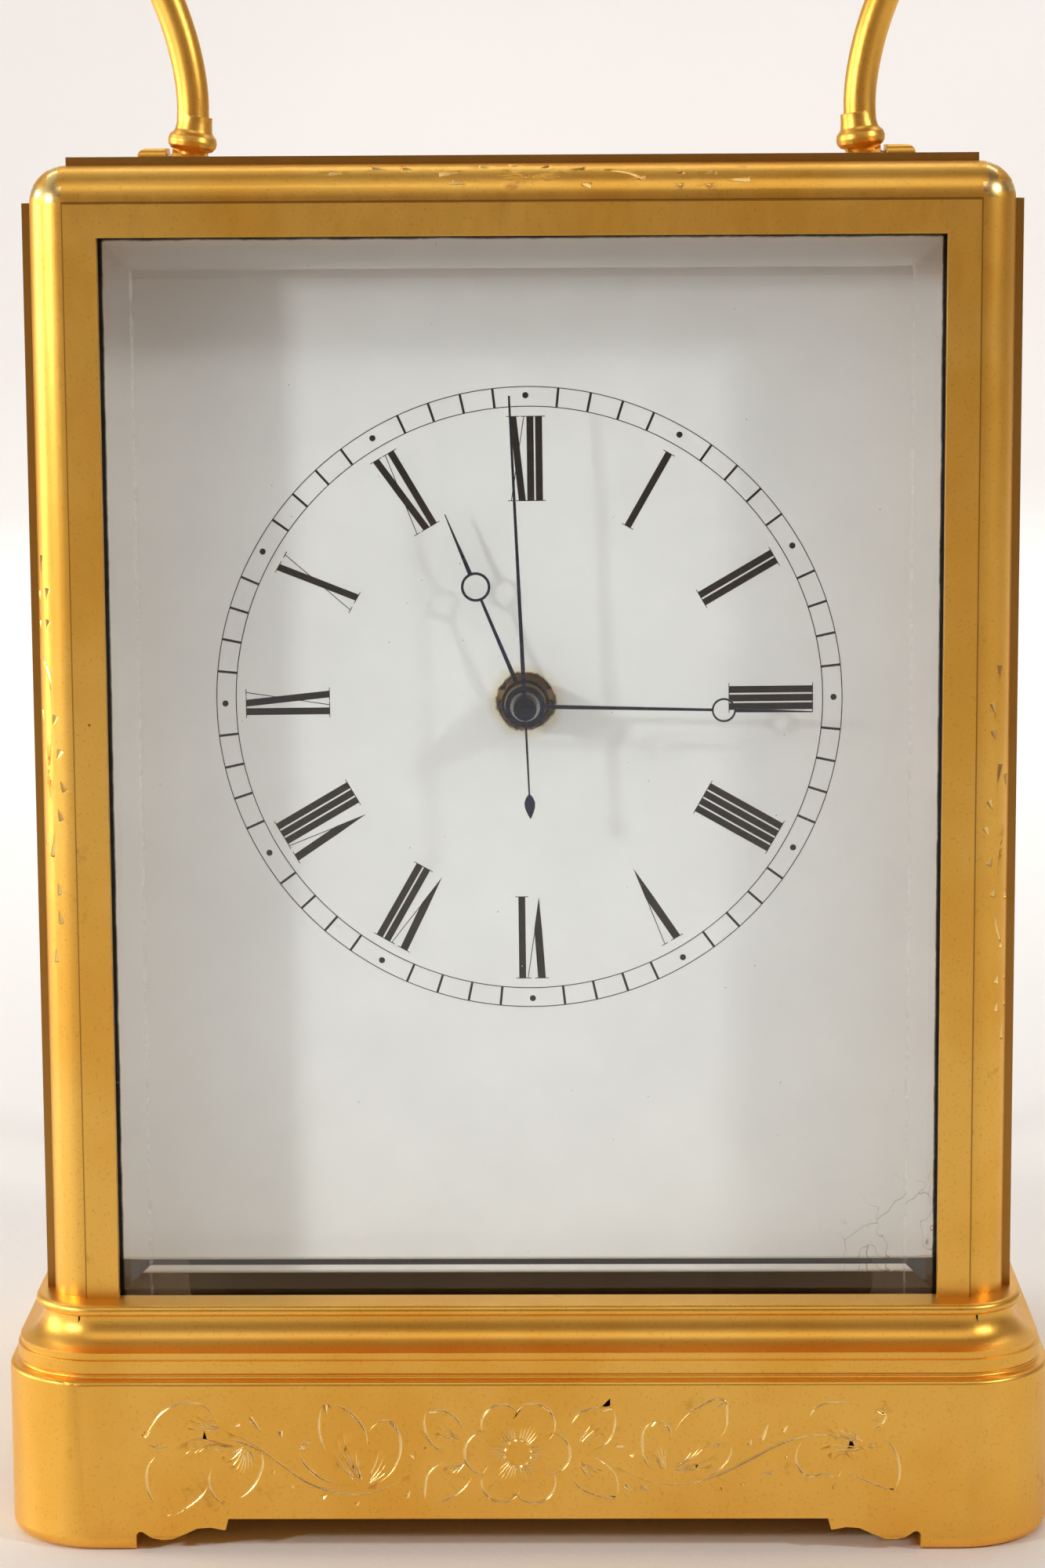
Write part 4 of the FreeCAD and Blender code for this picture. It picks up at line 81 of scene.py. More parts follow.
# ---- shader arithmetic ---------------------------------------------------------------
class Wire:
    """A shader value that adds Math nodes when it is used in a Python expression."""

    def __init__(self, tree, socket):
        self.tree = tree
        self.socket = socket

    def math(self, operation, *values):
        node = self.tree.nodes.new("ShaderNodeMath")
        node.operation = operation
        for socket, value in zip(node.inputs, values):
            connect(self.tree, socket, value)
        return Wire(self.tree, node.outputs[0])

    def __add__(self, other):
        return self.math("ADD", self, other)

    def __sub__(self, other):
        return self.math("SUBTRACT", self, other)

    def __mul__(self, other):
        return self.math("MULTIPLY", self, other)

    def __truediv__(self, other):
        return self.math("DIVIDE", self, other)

    def __pow__(self, other):
        return self.math("POWER", self, other)

    def __radd__(self, other):
        return self.math("ADD", other, self)

    def __rsub__(self, other):
        return self.math("SUBTRACT", other, self)

    def __rmul__(self, other):
        return self.math("MULTIPLY", other, self)

    def __rtruediv__(self, other):
        return self.math("DIVIDE", other, self)

    def over(self, level):
        return self.math("GREATER_THAN", self, level)

    def under(self, level):
        return self.math("LESS_THAN", self, level)

    def greater(self, other):
        return self.math("MAXIMUM", self, other)


def connect(tree, socket, value):
    if isinstance(value, Wire):
        tree.links.new(value.socket, socket)
    else:
        socket.default_value = value


class Finish:
    """A material being made: a Principled shader, with nodes that read the piece's own coordinates."""

    def __init__(self, name):
        self.material = bpy.data.materials.new(name)
        self.material.use_nodes = True
        self.tree = self.material.node_tree
        self.tree.nodes.clear()
        self.output = self.tree.nodes.new("ShaderNodeOutputMaterial")
        self.shader = self.tree.nodes.new("ShaderNodeBsdfPrincipled")
        self.tree.links.new(self.shader.outputs[0], self.output.inputs["Surface"])
        self.place = self.node("ShaderNodeTexCoord", {}, {}, "Object")

    def node(self, kind, settings, sockets, output=0):
        """Adds a node: its settings first, then the values or links of its sockets."""
        node = self.tree.nodes.new(kind)
        for name, value in settings.items():
            if name == "stops":
                set_stops(node.color_ramp, value)
            else:
                setattr(node, name, value)
        for name, value in sockets.items():
            connect(self.tree, node.inputs[name], value)
        return Wire(self.tree, node.outputs[output])

    def set(self, **values):
        """Sets the main shader's sockets; an underscore stands for a space in a socket's name."""
        for name, value in values.items():
            connect(self.tree, self.shader.inputs[name.replace("_", " ")], value)

    def stretched(self, scale, turn=(0.0, 0.0, 0.0)):
        return self.node("ShaderNodeMapping", {}, {"Vector": self.place, "Scale": scale, "Rotation": turn})

    def noise(self, scale, detail=2.0, rough=0.5, where=None):
        sockets = {"Vector": where or self.place, "Scale": scale, "Detail": detail, "Roughness": rough}
        return self.node("ShaderNodeTexNoise", {}, sockets)

    def cells(self, scale, feature="F1", output="Distance", where=None):
        sockets = {"Vector": where or self.place, "Scale": scale}
        return self.node("ShaderNodeTexVoronoi", {"feature": feature}, sockets, output)

    def ramp(self, value, *stops):
        return self.node("ShaderNodeValToRGB", {"stops": stops}, {"Fac": value})

    def grade(self, value, low, high, from_value=0.0, to_value=1.0):
        """Takes value from low..high to from_value..to_value, smoothly and held at both ends."""
        sockets = {"Value": value, "From Min": low, "From Max": high}
        sockets.update({"To Min": from_value, "To Max": to_value})
        return self.node("ShaderNodeMapRange", {"interpolation_type": "SMOOTHSTEP"}, sockets)

    def mix(self, factor, first, second, blend="MIX"):
        settings = {"data_type": "RGBA", "blend_type": blend}
        node = self.tree.nodes.new("ShaderNodeMix")
        for name, value in settings.items():
            setattr(node, name, value)
        for index, value in ((0, factor), (6, first), (7, second)):
            connect(self.tree, node.inputs[index], value)
        return Wire(self.tree, node.outputs[2])

    def split(self, vector):
        node = self.tree.nodes.new("ShaderNodeSeparateXYZ")
        connect(self.tree, node.inputs[0], vector)
        return [Wire(self.tree, out) for out in node.outputs]

    def bump(self, height, distance, strength=1.0, normal=None):
        sockets = {"Height": height, "Distance": distance, "Strength": strength}
        if normal is not None:
            sockets["Normal"] = normal
        return self.node("ShaderNodeBump", {}, sockets)


def set_stops(ramp, stops):
    while len(ramp.elements) < len(stops):
        ramp.elements.new(1.0)
    for element, (position, colour) in zip(ramp.elements, stops):
        element.position = position
        element.color = colour


# ---- finishes ------------------------------------------------------------------------
GOLD_LIGHT = (0.98, 0.575, 0.115, 1.0)
GOLD_DEEP = (0.92, 0.485, 0.075, 1.0)
# the stain colour, which also serves as painted shade in the case's steps
GOLD_STAIN_AND_SHADE = (0.30, 0.13, 0.03, 1.0)
GOLD_CUT = (1.0, 0.74, 0.30, 1.0)
# painted shade: the near-black brown that darkens the base's pocket and the lowest part of the movement
PAINTED_SHADE_BROWN = (0.050, 0.032, 0.020, 1.0)
# painted reflection: the pale grey-brown on the pocket's floor in front of the dial
LEDGE_PAINTED_REFLECTION = (0.80, 0.72, 0.62, 1.0)
WORN_EDGE = 0.22 * MM        # how far wear rounds the plain pieces' edges
ENGRAVED_EDGE = 0.07 * MM
PLINTH_EDGE = 0.04 * MM
FRAME_BRUSHING = (700.0, 700.0, 260.0)
PLINTH_BRUSHING = (110.0, 110.0, 7000.0)

PLINTH_FACE = -46.7 * MM     # the plinth's flat front
PLINTH_CUT_DEEP = 0.35 * MM  # deeper than any stroke in it
PLINTH_CUT_SIDE = 38.5 * MM  # the engraved stretch ends inside these
PLINTH_CUT_LOW = 3.7 * MM
PLINTH_CUT_HIGH = 16.6 * MM
ROUND = 3.6                  # radius of the case's quarter-round mouldings, in millimetres
ROUND_IN = 4.4 * MM          # from a flat frame's face to the middle of the quarter-round
ROUND_CUT_DEEP = 0.40        # strokes in a quarter-round lie between these depths, in millimetres
ROUND_CUT_SHALLOW = 0.08
STEP_SHADE_HALF_WIDTH = 0.07 * MM        # half the width of the painted shade in a step
STEP_FADE = 0.15 * MM
STEP_REACH = 0.95 * MM       # a step lies this near the outer faces
POCKET_SIDE = 44.8 * MM      # the base's pocket
POCKET_FRONT = 42.9 * MM
POCKET_TOP = 24.2 * MM
POCKET_LOW = 18.0 * MM
LEDGE_BACK = -29.0 * MM      # its floor in front of the dial
LEDGE_TOP = 21.0 * MM


def gilding(name, brushed_along, worn_edge=WORN_EDGE, cuts=None, pocket_shade=None, step_shade=None):
    """Satin mercury gilding: soft colour patches, fine scratches along the work, and a few dark pits.

    cuts gives where a graver has left a bright cut, the pocket argument where painted shade darkens the base's
    pocket (with a pale painted reflection on its floor in front of the dial), and the step argument where painted
    shade lies in a step.
    """
    f = Finish(name)
    patches = f.grade(f.noise(45.0, 3.0, 0.6), 0.35, 0.65)
    colour = f.mix(patches, GOLD_DEEP, GOLD_LIGHT)
    brush = f.noise(1.0, 2.0, 0.6, f.stretched(brushed_along))
    grain = f.noise(9000.0, 1.0)
    frost = f.noise(3200.0, 2.0, 0.7)
    cell = f.cells(330.0)
    chosen = f.split(f.cells(330.0, output="Color"))[0].over(0.93)
    pits = f.grade(cell, 0.02, 0.07, 1.0, 0.0) * chosen
    colour = f.mix(f.grade(frost, 0.30, 0.42, 0.22, 0.0), colour, GOLD_STAIN_AND_SHADE)
    colour = f.mix(pits, colour, GOLD_STAIN_AND_SHADE)
    soil = f.grade(f.noise(240.0, 4.0, 0.7), 0.62, 0.78)
    colour = f.mix(soil * 0.35, colour, GOLD_STAIN_AND_SHADE)
    height = brush * 0.5 + grain * 0.35 + frost * 0.8 - pits * 3.0
    rough = 0.335 + brush * 0.10 + soil * 0.15 + pits * 0.3
    if cuts:
        bright = cuts(f)
        colour = f.mix(bright, colour, GOLD_CUT)
        rough = rough - bright * 0.12
    # painted shade darkens the base's pocket, and its floor in front of the dial gets a pale painted reflection
    if pocket_shade:
        pocket_shaded, ledge_reflection = pocket_shade(f)
        colour = f.mix(pocket_shaded, colour, f.mix(ledge_reflection, PAINTED_SHADE_BROWN, LEDGE_PAINTED_REFLECTION))
        rough = rough + pocket_shaded * 0.2
    # painted shade in the steps, in the stain colour
    if step_shade:
        colour = f.mix(step_shade(f) * 0.8, colour, GOLD_STAIN_AND_SHADE)
    rounded = f.node("ShaderNodeBevel", {"samples": 4}, {"Radius": worn_edge})
    f.set(
        Base_Color=colour,
        Metallic=1.0,
        Roughness=rough,
        Normal=f.bump(height, 0.007 * MM, 1.0, rounded),
    )
    return f.material


def plinth_cuts(f):
    """Where the plinth's surface lies below its flat front."""
    x, y, z = f.split(f.place)
    below = f.grade(y, PLINTH_FACE + 0.006 * MM, PLINTH_FACE + 0.02 * MM)
    deepest = PLINTH_FACE + PLINTH_CUT_DEEP
    near = f.grade(y, deepest, deepest + 0.05 * MM, 1.0, 0.0)
    upright = z.over(PLINTH_CUT_LOW) * z.under(PLINTH_CUT_HIGH)
    return below * near * upright * (x ** 2.0).under(PLINTH_CUT_SIDE ** 2)


def corner_places(f):
    """How far a point lies past the middle of the front quarter-rounds: sideways, upwards and forwards."""
    x, y, z = f.split(f.place)
    beside = (x ** 2.0) ** 0.5 - (CASE_HIGH.x - ROUND_IN)
    return beside, z - (CASE_HIGH.z - ROUND_IN), CASE_LOW.y + ROUND_IN - y


def round_cuts(f):
    """Where the surface lies inside the case's quarter-rounds."""
    beside, upwards, inwards = corner_places(f)
    found = None
    for across in (upwards, beside):
        reach = (across ** 2.0 + inwards ** 2.0) ** 0.5
        deepest = (ROUND - ROUND_CUT_DEEP) * MM
        shallowest = (ROUND - ROUND_CUT_SHALLOW) * MM
        within = f.grade(reach, deepest, deepest + 0.02 * MM)
        within = within * f.grade(reach, shallowest, shallowest + 0.03 * MM, 1.0, 0.0)
        band = within * across.over(0.1 * MM) * inwards.over(0.1 * MM)
        found = band if found is None else found.greater(band)
    return found


def step_shade_lines(f):
    """A thin line of painted shade in the step where each raised flat frame meets the quarter-round."""
    beside, upwards, inwards = corner_places(f)
    far = ROUND_IN - STEP_REACH
    outer = beside.greater(upwards)
    across = f.grade((outer ** 2.0) ** 0.5, STEP_SHADE_HALF_WIDTH, STEP_FADE, 1.0, 0.0) * inwards.over(far)
    along = f.grade((inwards ** 2.0) ** 0.5, STEP_SHADE_HALF_WIDTH, STEP_FADE, 1.0, 0.0) * outer.over(far)
    return across.greater(along)


def base_pocket_shade(f):
    """Painted shade in the base's pocket, and a pale painted reflection on the part of its floor in front of the
    dial.
    """
    x, y, z = f.split(f.place)
    inside = (x ** 2.0).under(POCKET_SIDE ** 2) * (y ** 2.0).under(POCKET_FRONT ** 2)
    inside = inside * z.under(POCKET_TOP) * z.over(POCKET_LOW)
    return inside, y.under(LEDGE_BACK) * z.under(LEDGE_TOP)


FRAME_SIDE = 40.9 * MM       # inner edge of the frame round the front glass
FRAME_TOP = 129.6 * MM
FRAME_LAP = 0.9 * MM         # how far the glass runs on behind it
GLASS_BACK = -30.0 * MM      # the front glass is ahead of this
BEVEL_IN = 3.1 * MM          # from the frame to the inner edge of the glass's bevel


def clear_glass():
    """Clear glass with painted shade along its frame, a broken painted highlight along the edge of its bevel, and
    specks of dust.

    A shadow passes it as through open air, so the dial behind is lit.
    """
    f = Finish("clear_glass")
    x, y, z = f.split(f.place)
    dust = f.grade(f.noise(5200.0, 2.0, 0.6), 0.70, 0.78)
    f.set(
        Base_Color=(0.985, 1.0, 0.99, 1.0),
        Roughness=dust * 0.25,
        IOR=1.5,
        Transmission_Weight=1.0,
    )
    open_air = f.node("ShaderNodeBsdfTransparent", {}, {"Color": (0.96, 0.97, 0.965, 1.0)})
    shadow = f.node("ShaderNodeLightPath", {}, {}, "Is Shadow Ray")
    sockets = {0: shadow, 1: Wire(f.tree, f.shader.outputs[0]), 2: open_air}
    clear = f.node("ShaderNodeMixShader", {}, sockets)
    # painted shade: a dark rim on the glass along the frame's inner edge
    beside = FRAME_SIDE - (x ** 2.0) ** 0.5
    above = FRAME_TOP - z
    facing = y.under(GLASS_BACK) * beside.over(-FRAME_LAP)
    wander = f.noise(350.0, 3.0, 0.7) * 0.30 * MM
    side_shade = f.grade(beside + wander, 0.35 * MM, 0.60 * MM, 1.0, 0.0)
    top_shade = f.grade(above + wander, 0.32 * MM, 0.55 * MM, 1.0, 0.0)
    painted_shade_rim = side_shade.greater(top_shade) * facing * 0.85
    # painted highlight: a pale broken line along the inner edge of the bevel; the specks below are real dust
    side_highlight = f.grade((((beside - BEVEL_IN) ** 2.0) ** 0.5), 0.08 * MM, 0.16 * MM, 1.0, 0.0)
    broken = f.grade(f.noise(700.0, 3.0, 0.7), 0.40, 0.60)
    line = side_highlight * broken * above.over(BEVEL_IN) * facing * 0.14
    chosen = f.split(f.cells(520.0, output="Color"))[2].over(0.93)
    specks = f.grade(f.cells(520.0), 0.02, 0.05, 1.0, 0.0) * chosen
    painted_shade_dark = f.node("ShaderNodeBsdfDiffuse", {}, {"Color": (0.018, 0.016, 0.013, 1.0)})
    lint_and_highlight = f.node("ShaderNodeBsdfDiffuse", {}, {"Color": (0.85, 0.84, 0.80, 1.0)})
    rim_shaded = f.node("ShaderNodeMixShader", {}, {0: painted_shade_rim, 1: clear, 2: painted_shade_dark})
    dust_and_highlight = f.node("ShaderNodeMixShader", {}, {0: line.greater(specks * facing * 0.6), 1: rim_shaded, 2: lint_and_highlight})
    f.tree.links.new(dust_and_highlight.socket, f.output.inputs["Surface"])
    return f.material


def enamel():
    """Fired white enamel: faint mottling, specks, stained chips round the hole and a few fine cracks."""
    f = Finish("enamel")
    x, y, z = f.split(f.place)
    mottle = f.noise(70.0, 3.0, 0.6)
    colour = f.ramp(mottle, (0.3, (0.78, 0.79, 0.79, 1.0)), (0.7, (0.84, 0.85, 0.85, 1.0)))
    chosen = f.split(f.cells(420.0, output="Color"))[1].over(0.86)
    specks = f.grade(f.cells(420.0), 0.02, 0.06, 1.0, 0.0) * chosen
    colour = f.mix(specks * 0.8, colour, (0.10, 0.07, 0.05, 1.0))
    reach = ((x - HUB.x) ** 2.0 + (z - HUB.z) ** 2.0) ** 0.5
    chips = f.grade(reach + f.noise(900.0, 3.0, 0.7) * 0.9 * MM, 3.25 * MM, 3.55 * MM, 1.0, 0.0)
    tinge = f.grade(reach + f.noise(400.0, 3.0, 0.6) * 1.4 * MM, 3.5 * MM, 4.9 * MM, 0.55, 0.0)
    colour = f.mix(tinge, colour, (0.62, 0.52, 0.30, 1.0))
    colour = f.mix(chips, colour, (0.06, 0.035, 0.018, 1.0))
    corner = f.grade(x - (z - DIAL_LOW.z) * 0.8, 25.0 * MM, 39.0 * MM)
    low_right = f.grade(z, DIAL_LOW.z + 11.0 * MM, DIAL_LOW.z + 7.0 * MM, 0.0, 1.0) * corner
    wander = f.noise(260.0, 2.0)
    crack = f.cells(210.0, "DISTANCE_TO_EDGE", where=f.mix(0.012, f.place, wander, "ADD"))
    cracks = f.grade(crack, 0.0, 0.022, 1.0, 0.0) * low_right
    colour = f.mix(cracks * 0.75, colour, (0.25, 0.17, 0.09, 1.0))
    bump = f.bump(mottle + f.noise(240.0, 2.0) * 0.4 - chips * 3.0 - cracks, 0.03 * MM)
    f.set(
        Base_Color=colour,
        Roughness=0.16 + chips * 0.5 + specks * 0.3,
        Normal=bump,
        Coat_Weight=0.5,
        Coat_Roughness=0.05,
    )
    return f.material


def print_black():
    """Fired black print with the brown cast of thin enamel."""
    f = Finish("dial_print")
    thin = f.grade(f.noise(900.0, 3.0, 0.6), 0.4, 0.7)
    colour = f.mix(thin, (0.006, 0.005, 0.005, 1.0), (0.022, 0.010, 0.008, 1.0))
    f.set(Base_Color=colour, Roughness=0.45 + thin * 0.15, Specular_IOR_Level=0.12)
    return f.material


def steel(name, dark, light, rough, grain_scale=(300.0, 6000.0, 6000.0)):
    """Polished or tempered steel with fine lapping lines."""
    f = Finish(name)
    lines = f.noise(1.0, 2.0, 0.6, f.stretched(grain_scale))
    cast = f.noise(320.0, 3.0, 0.6)
    f.set(
        Base_Color=f.mix(f.grade(cast, 0.35, 0.65), dark, light),
        Metallic=1.0,
        Roughness=rough + lines * 0.12,
        Normal=f.bump(lines, 0.003 * MM),
    )
    return f.material


def movement_brass(name, dark, light, rough):
    """Grained, lacquered brass with a faint tarnish, and painted shade darkening its lowest part."""
    f = Finish(name)
    lines = f.noise(1.0, 2.0, 0.65, f.stretched((260.0, 5200.0, 5200.0)))
    tarnish = f.grade(f.noise(120.0, 4.0, 0.65), 0.4, 0.75)
    # painted shade: below about 26 mm the brass darkens to the pocket's shade brown
    low = f.grade(f.split(f.place)[2], 25.5 * MM, 27.0 * MM, 0.95, 0.0)
    f.set(
        Base_Color=f.mix(low, f.mix(tarnish, light, dark), PAINTED_SHADE_BROWN),
        Metallic=1.0,
        Roughness=rough + lines * 0.15 + tarnish * 0.1 + low * 0.3,
        Normal=f.bump(lines, 0.004 * MM),
    )
    return f.material


def ruby():
    f = Finish("ruby_jewel")
    clouds = f.noise(1500.0, 2.0)
    colour = f.ramp(clouds, (0.35, (0.42, 0.01, 0.03, 1.0)), (0.65, (0.65, 0.03, 0.07, 1.0)))
    f.set(Base_Color=colour, Roughness=0.08 + clouds * 0.06, Coat_Weight=0.6)
    return f.material


def dress(material, *nodes):
    for name in nodes:
        slots = frame["nodes"][name].data.materials
        slots.clear()
        slots.append(material)


GILT_CASE = gilding("gilt_case", FRAME_BRUSHING)
GILT_ENGRAVED = gilding("gilt_engraved", FRAME_BRUSHING, ENGRAVED_EDGE, round_cuts, None, step_shade_lines)
GILT_BASE = gilding("gilt_base", PLINTH_BRUSHING, PLINTH_EDGE, plinth_cuts, base_pocket_shade)
GLASS = clear_glass()
BLUED = steel("blued_steel", (0.010, 0.012, 0.022, 1.0), (0.018, 0.028, 0.075, 1.0), 0.22)
POLISHED = steel("polished_steel", (0.36, 0.36, 0.37, 1.0), (0.52, 0.52, 0.53, 1.0), 0.18)
BRASS = movement_brass("movement_brass", (0.50, 0.33, 0.12, 1.0), (0.78, 0.58, 0.26, 1.0), 0.24)
COPPER = movement_brass("copper", (0.32, 0.12, 0.06, 1.0), (0.66, 0.33, 0.19, 1.0), 0.3)

dress(GILT_CASE, "case_body", "rear_door", "door_knob", "handle", "handle_lugs")
dress(GILT_BASE, "base")
dress(GLASS, "front_glass", "left_glass", "right_glass", "top_glass", "rear_glass")
dress(enamel(), "dial")
dress(COPPER, "dial_feet")
dress(BLUED, "hour_hand", "minute_hand", "seconds_hand", "hairspring", "regulator", "click_spring")
dress(BLUED, "plate_screws", "platform_screws", "movement_screws", "case_screws")
dress(ruby(), "pallet_stones", "platform_jewels")
for row in frame["record"]["subparts"]:
    blued = "screw" in row["node"] or row["node"] == "click_spring"
    if row["material_slot"] == "movement_brass":
        dress(BRASS, row["node"])
    elif row["material_slot"] == "polished_steel" and not blued:
        dress(POLISHED, row["node"])


# ---- modelling by hand ---------------------------------------------------------------
CLOSE_TO = 0.001 * MM        # points nearer than this are one point


def clear_selection():
    if bpy.context.object and bpy.context.object.mode != "OBJECT":
        bpy.ops.object.mode_set(mode="OBJECT")
    bpy.ops.object.select_all(action="DESELECT")


def start_edit(obj):
    clear_selection()
    bpy.context.view_layer.objects.active = obj
    obj.select_set(True)
    bpy.ops.object.mode_set(mode="EDIT")


def end_edit():
    bpy.ops.object.mode_set(mode="OBJECT")
    return bpy.context.object


def drop_selection(obj):
    """Leaves edit mode, with no point, edge or face of the mesh selected."""
    bpy.ops.object.mode_set(mode="OBJECT")
    for part in (obj.data.polygons, obj.data.edges, obj.data.vertices):
        for item in part:
            item.select = False


def pick_vertices(obj, test):
    """Selects, in edit mode, the vertices that pass the test, and nothing else."""
    drop_selection(obj)
    for vertex in obj.data.vertices:
        vertex.select = test(vertex.co)
    bpy.ops.object.mode_set(mode="EDIT")
    bpy.ops.mesh.select_mode(type="VERT")


def joined(objects, name):
    clear_selection()
    for obj in objects:
        obj.select_set(True)
    bpy.context.view_layer.objects.active = objects[0]
    bpy.ops.object.join()
    result = bpy.context.object
    result.name = name
    result.data.name = name
    return result


def settle(obj):
    """Moves an object's place, turn and size into its mesh."""
    clear_selection()
    bpy.context.view_layer.objects.active = obj
    obj.select_set(True)
    bpy.ops.object.transform_apply(location=True, rotation=True, scale=True)
    return obj


def finished(obj, material, body):
    obj.data.materials.clear()
    obj.data.materials.append(material)
    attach(obj, body)
    return obj


# ---- the printing on the dial --------------------------------------------------------
# A numeral is drawn upright at the origin: x across it, z outwards from the hub.
def bar(left, width, lean=0.0, low=NUMERAL_FOOT, high=NUMERAL_TOP):
    """An upright or leaning flat stroke with level ends; lean is how far its foot is moved across."""
    clear_selection()
    centre = (left + width / 2, 0.0, (low + high) / 2)
    bpy.ops.mesh.primitive_plane_add(size=1.0, location=centre, rotation=(math.pi / 2, 0.0, 0.0))
    stroke = bpy.context.object
    stroke.scale = (width, high - low, 1.0)
    settle(stroke)
    if lean:
        start_edit(stroke)
        pick_vertices(stroke, lambda co: co.z < (low + high) / 2)
        bpy.ops.transform.translate(value=(lean, 0.0, 0.0))
        end_edit()
    return stroke


def serif(centre, width, height):
    return bar(centre - width / 2 - SERIF, width + 2 * SERIF, 0.0, height - HAIR / 2, height + HAIR / 2)


def letter_i(left):
    strokes = [bar(left, BAR)]
    for height in (NUMERAL_FOOT, NUMERAL_TOP):
        strokes.append(serif(left + BAR / 2, BAR, height))
    return strokes, left + BAR_PITCH


def letter_v(left):
    """The thick stroke narrows to a point, and the thin one joins it part of the way down."""
    join_z = NUMERAL_FOOT + V_JOIN * (NUMERAL_TOP - NUMERAL_FOOT)
    thick = bar(left, V_TOP, V_LEAN, join_z, NUMERAL_TOP)
    wedge = bar(left + V_LEAN, V_TOP, 0.0, NUMERAL_FOOT, join_z)
    start_edit(wedge)
    pick_vertices(wedge, lambda co: co.z < (NUMERAL_FOOT + join_z) / 2)
    bpy.ops.mesh.merge(type="CENTER")
    bpy.ops.transform.translate(value=(V_POINT - V_LEAN - V_TOP / 2, 0.0, 0.0))
    end_edit()
    thin_top = left + V_WIDTH
    thin_foot = left + V_LEAN + V_TOP - HAIR
    thin = bar(thin_top - HAIR / 2, HAIR, thin_foot - thin_top, join_z, NUMERAL_TOP)
    serifs = [serif(left + V_TOP / 2, V_TOP, NUMERAL_TOP), serif(thin_top, HAIR, NUMERAL_TOP)]
    return [thick, wedge, thin] + serifs, thin_top + V_AFTER


def letter_x(left, lean):
    """The thick stroke falls to the right and the thin one to the left."""
    width = lean + BAR
    thick = bar(left, BAR, lean)
    thin_top = left + width - BAR * 0.15
    thin_foot = left + BAR * 0.15
    thin = bar(thin_top - HAIR / 2, HAIR, thin_foot - thin_top)
    serifs = [serif(left + BAR / 2, BAR, NUMERAL_TOP), serif(left + lean + BAR / 2, BAR, NUMERAL_FOOT),
              serif(thin_top, HAIR, NUMERAL_TOP), serif(thin_foot, HAIR, NUMERAL_FOOT)]
    return [thick, thin] + serifs, left + width + 0.24 * BAR


NUMERALS = ("XII", "I", "II", "III", "IIII", "V", "VI", "VII", "VIII", "IX", "X", "XI")
X_LEAN_ALONE = 1.18 * MM
X_LEAN_IN_COMPANY = 0.85 * MM


def numeral(letters, hour):
    strokes, left = [], 0.0
    lean = X_LEAN_ALONE if letters == "X" else X_LEAN_IN_COMPANY
    for letter in letters:
        if letter == "I":
            made, left = letter_i(left)
        elif letter == "V":
            made, left = letter_v(left)
        else:
            made, left = letter_x(left, lean)
        strokes += made
    piece = joined(strokes, f"numeral_{hour}")
    xs = [vertex.co.x for vertex in piece.data.vertices]
    piece.location.x = -(min(xs) + max(xs)) / 2
    settle(piece)
    piece.rotation_euler.y = math.tau * hour / 12
    return settle(piece)


def track_ring(radius):
    clear_selection()
    bpy.ops.mesh.primitive_circle_add(vertices=240, radius=radius, rotation=(math.pi / 2, 0.0, 0.0))
    ring = settle(bpy.context.object)
    start_edit(ring)
    bpy.ops.mesh.select_all(action="SELECT")
    bpy.ops.mesh.extrude_region()
    shrink = (radius - TRACK_LINE) / radius
    bpy.ops.transform.resize(value=(shrink, shrink, shrink), center_override=(0.0, 0.0, 0.0))
    return end_edit()


def minute_tick():
    return bar(-TICK_WIDTH / 2, TICK_WIDTH, 0.0, TRACK_INNER - TRACK_LINE, TRACK_OUTER)


def minute_dot():
    clear_selection()
    bpy.ops.mesh.primitive_circle_add(vertices=20, radius=DOT_RADIUS, fill_type="NGON",
                                      location=(0.0, 0.0, DOT_AT), rotation=(math.pi / 2, 0.0, 0.0))
    return settle(bpy.context.object)


def copied(obj):
    twin = obj.copy()
    twin.data = obj.data.copy()
    bpy.context.scene.collection.objects.link(twin)
    return twin


def minute_track():
    marks = [track_ring(TRACK_OUTER), track_ring(TRACK_INNER)]
    tick, dot = minute_tick(), minute_dot()
    for minute in range(60):
        mark = copied(tick if minute % 5 else dot)
        mark.rotation_euler.y = math.tau * minute / 60
        marks.append(settle(mark))
    for pattern in (tick, dot):
        bpy.data.objects.remove(pattern)
    return joined(marks, "minute_track")


def print_on_dial(piece):
    """Gives the flat print its thickness, faces it forwards and sets it on the enamel."""
    start_edit(piece)
    bpy.ops.mesh.select_all(action="SELECT")
    bpy.ops.mesh.remove_doubles(threshold=CLOSE_TO)
    bpy.ops.mesh.normals_make_consistent(inside=False)
    end_edit()
    clear_selection()
    bpy.context.view_layer.objects.active = piece
    piece.select_set(True)
    depth = piece.modifiers.new("depth", "SOLIDIFY")
    depth.thickness = PRINT_LIFT
    depth.offset = 0.0
    bpy.ops.object.modifier_apply(modifier="depth")
    piece.rotation_euler.y = DIAL_TILT
    piece.location = (HUB.x + DIAL_SHIFT, DIAL_FACE - PRINT_LIFT / 2, HUB.z + 0.1 * MM)
    return finished(settle(piece), BLACK, "case")


BLACK = print_black()
NUMERAL_RING = joined([numeral(letters, hour) for hour, letters in enumerate(NUMERALS)], "dial_numerals")
print_on_dial(NUMERAL_RING)
print_on_dial(minute_track())


# ---- engraving -----------------------------------------------------------------------
# Strokes are drawn in millimetres on a face laid flat: u along it and v across it.
OUTLINE = 0.18               # half the width of a cut, in millimetres
HATCH = 0.10
GOUGE = 0.30
GRAVER_LIFT = 0.35           # how far a cut's centre stands off the face, as a share of its half width
WITH_FACE = 0.97             # a face on an engraved surface looks this nearly the surface's way
TURNED_IN = -0.2             # and one that looks this far the other way doesn't belong
CREASE = math.radians(28)    # sharper edges than this stay sharp


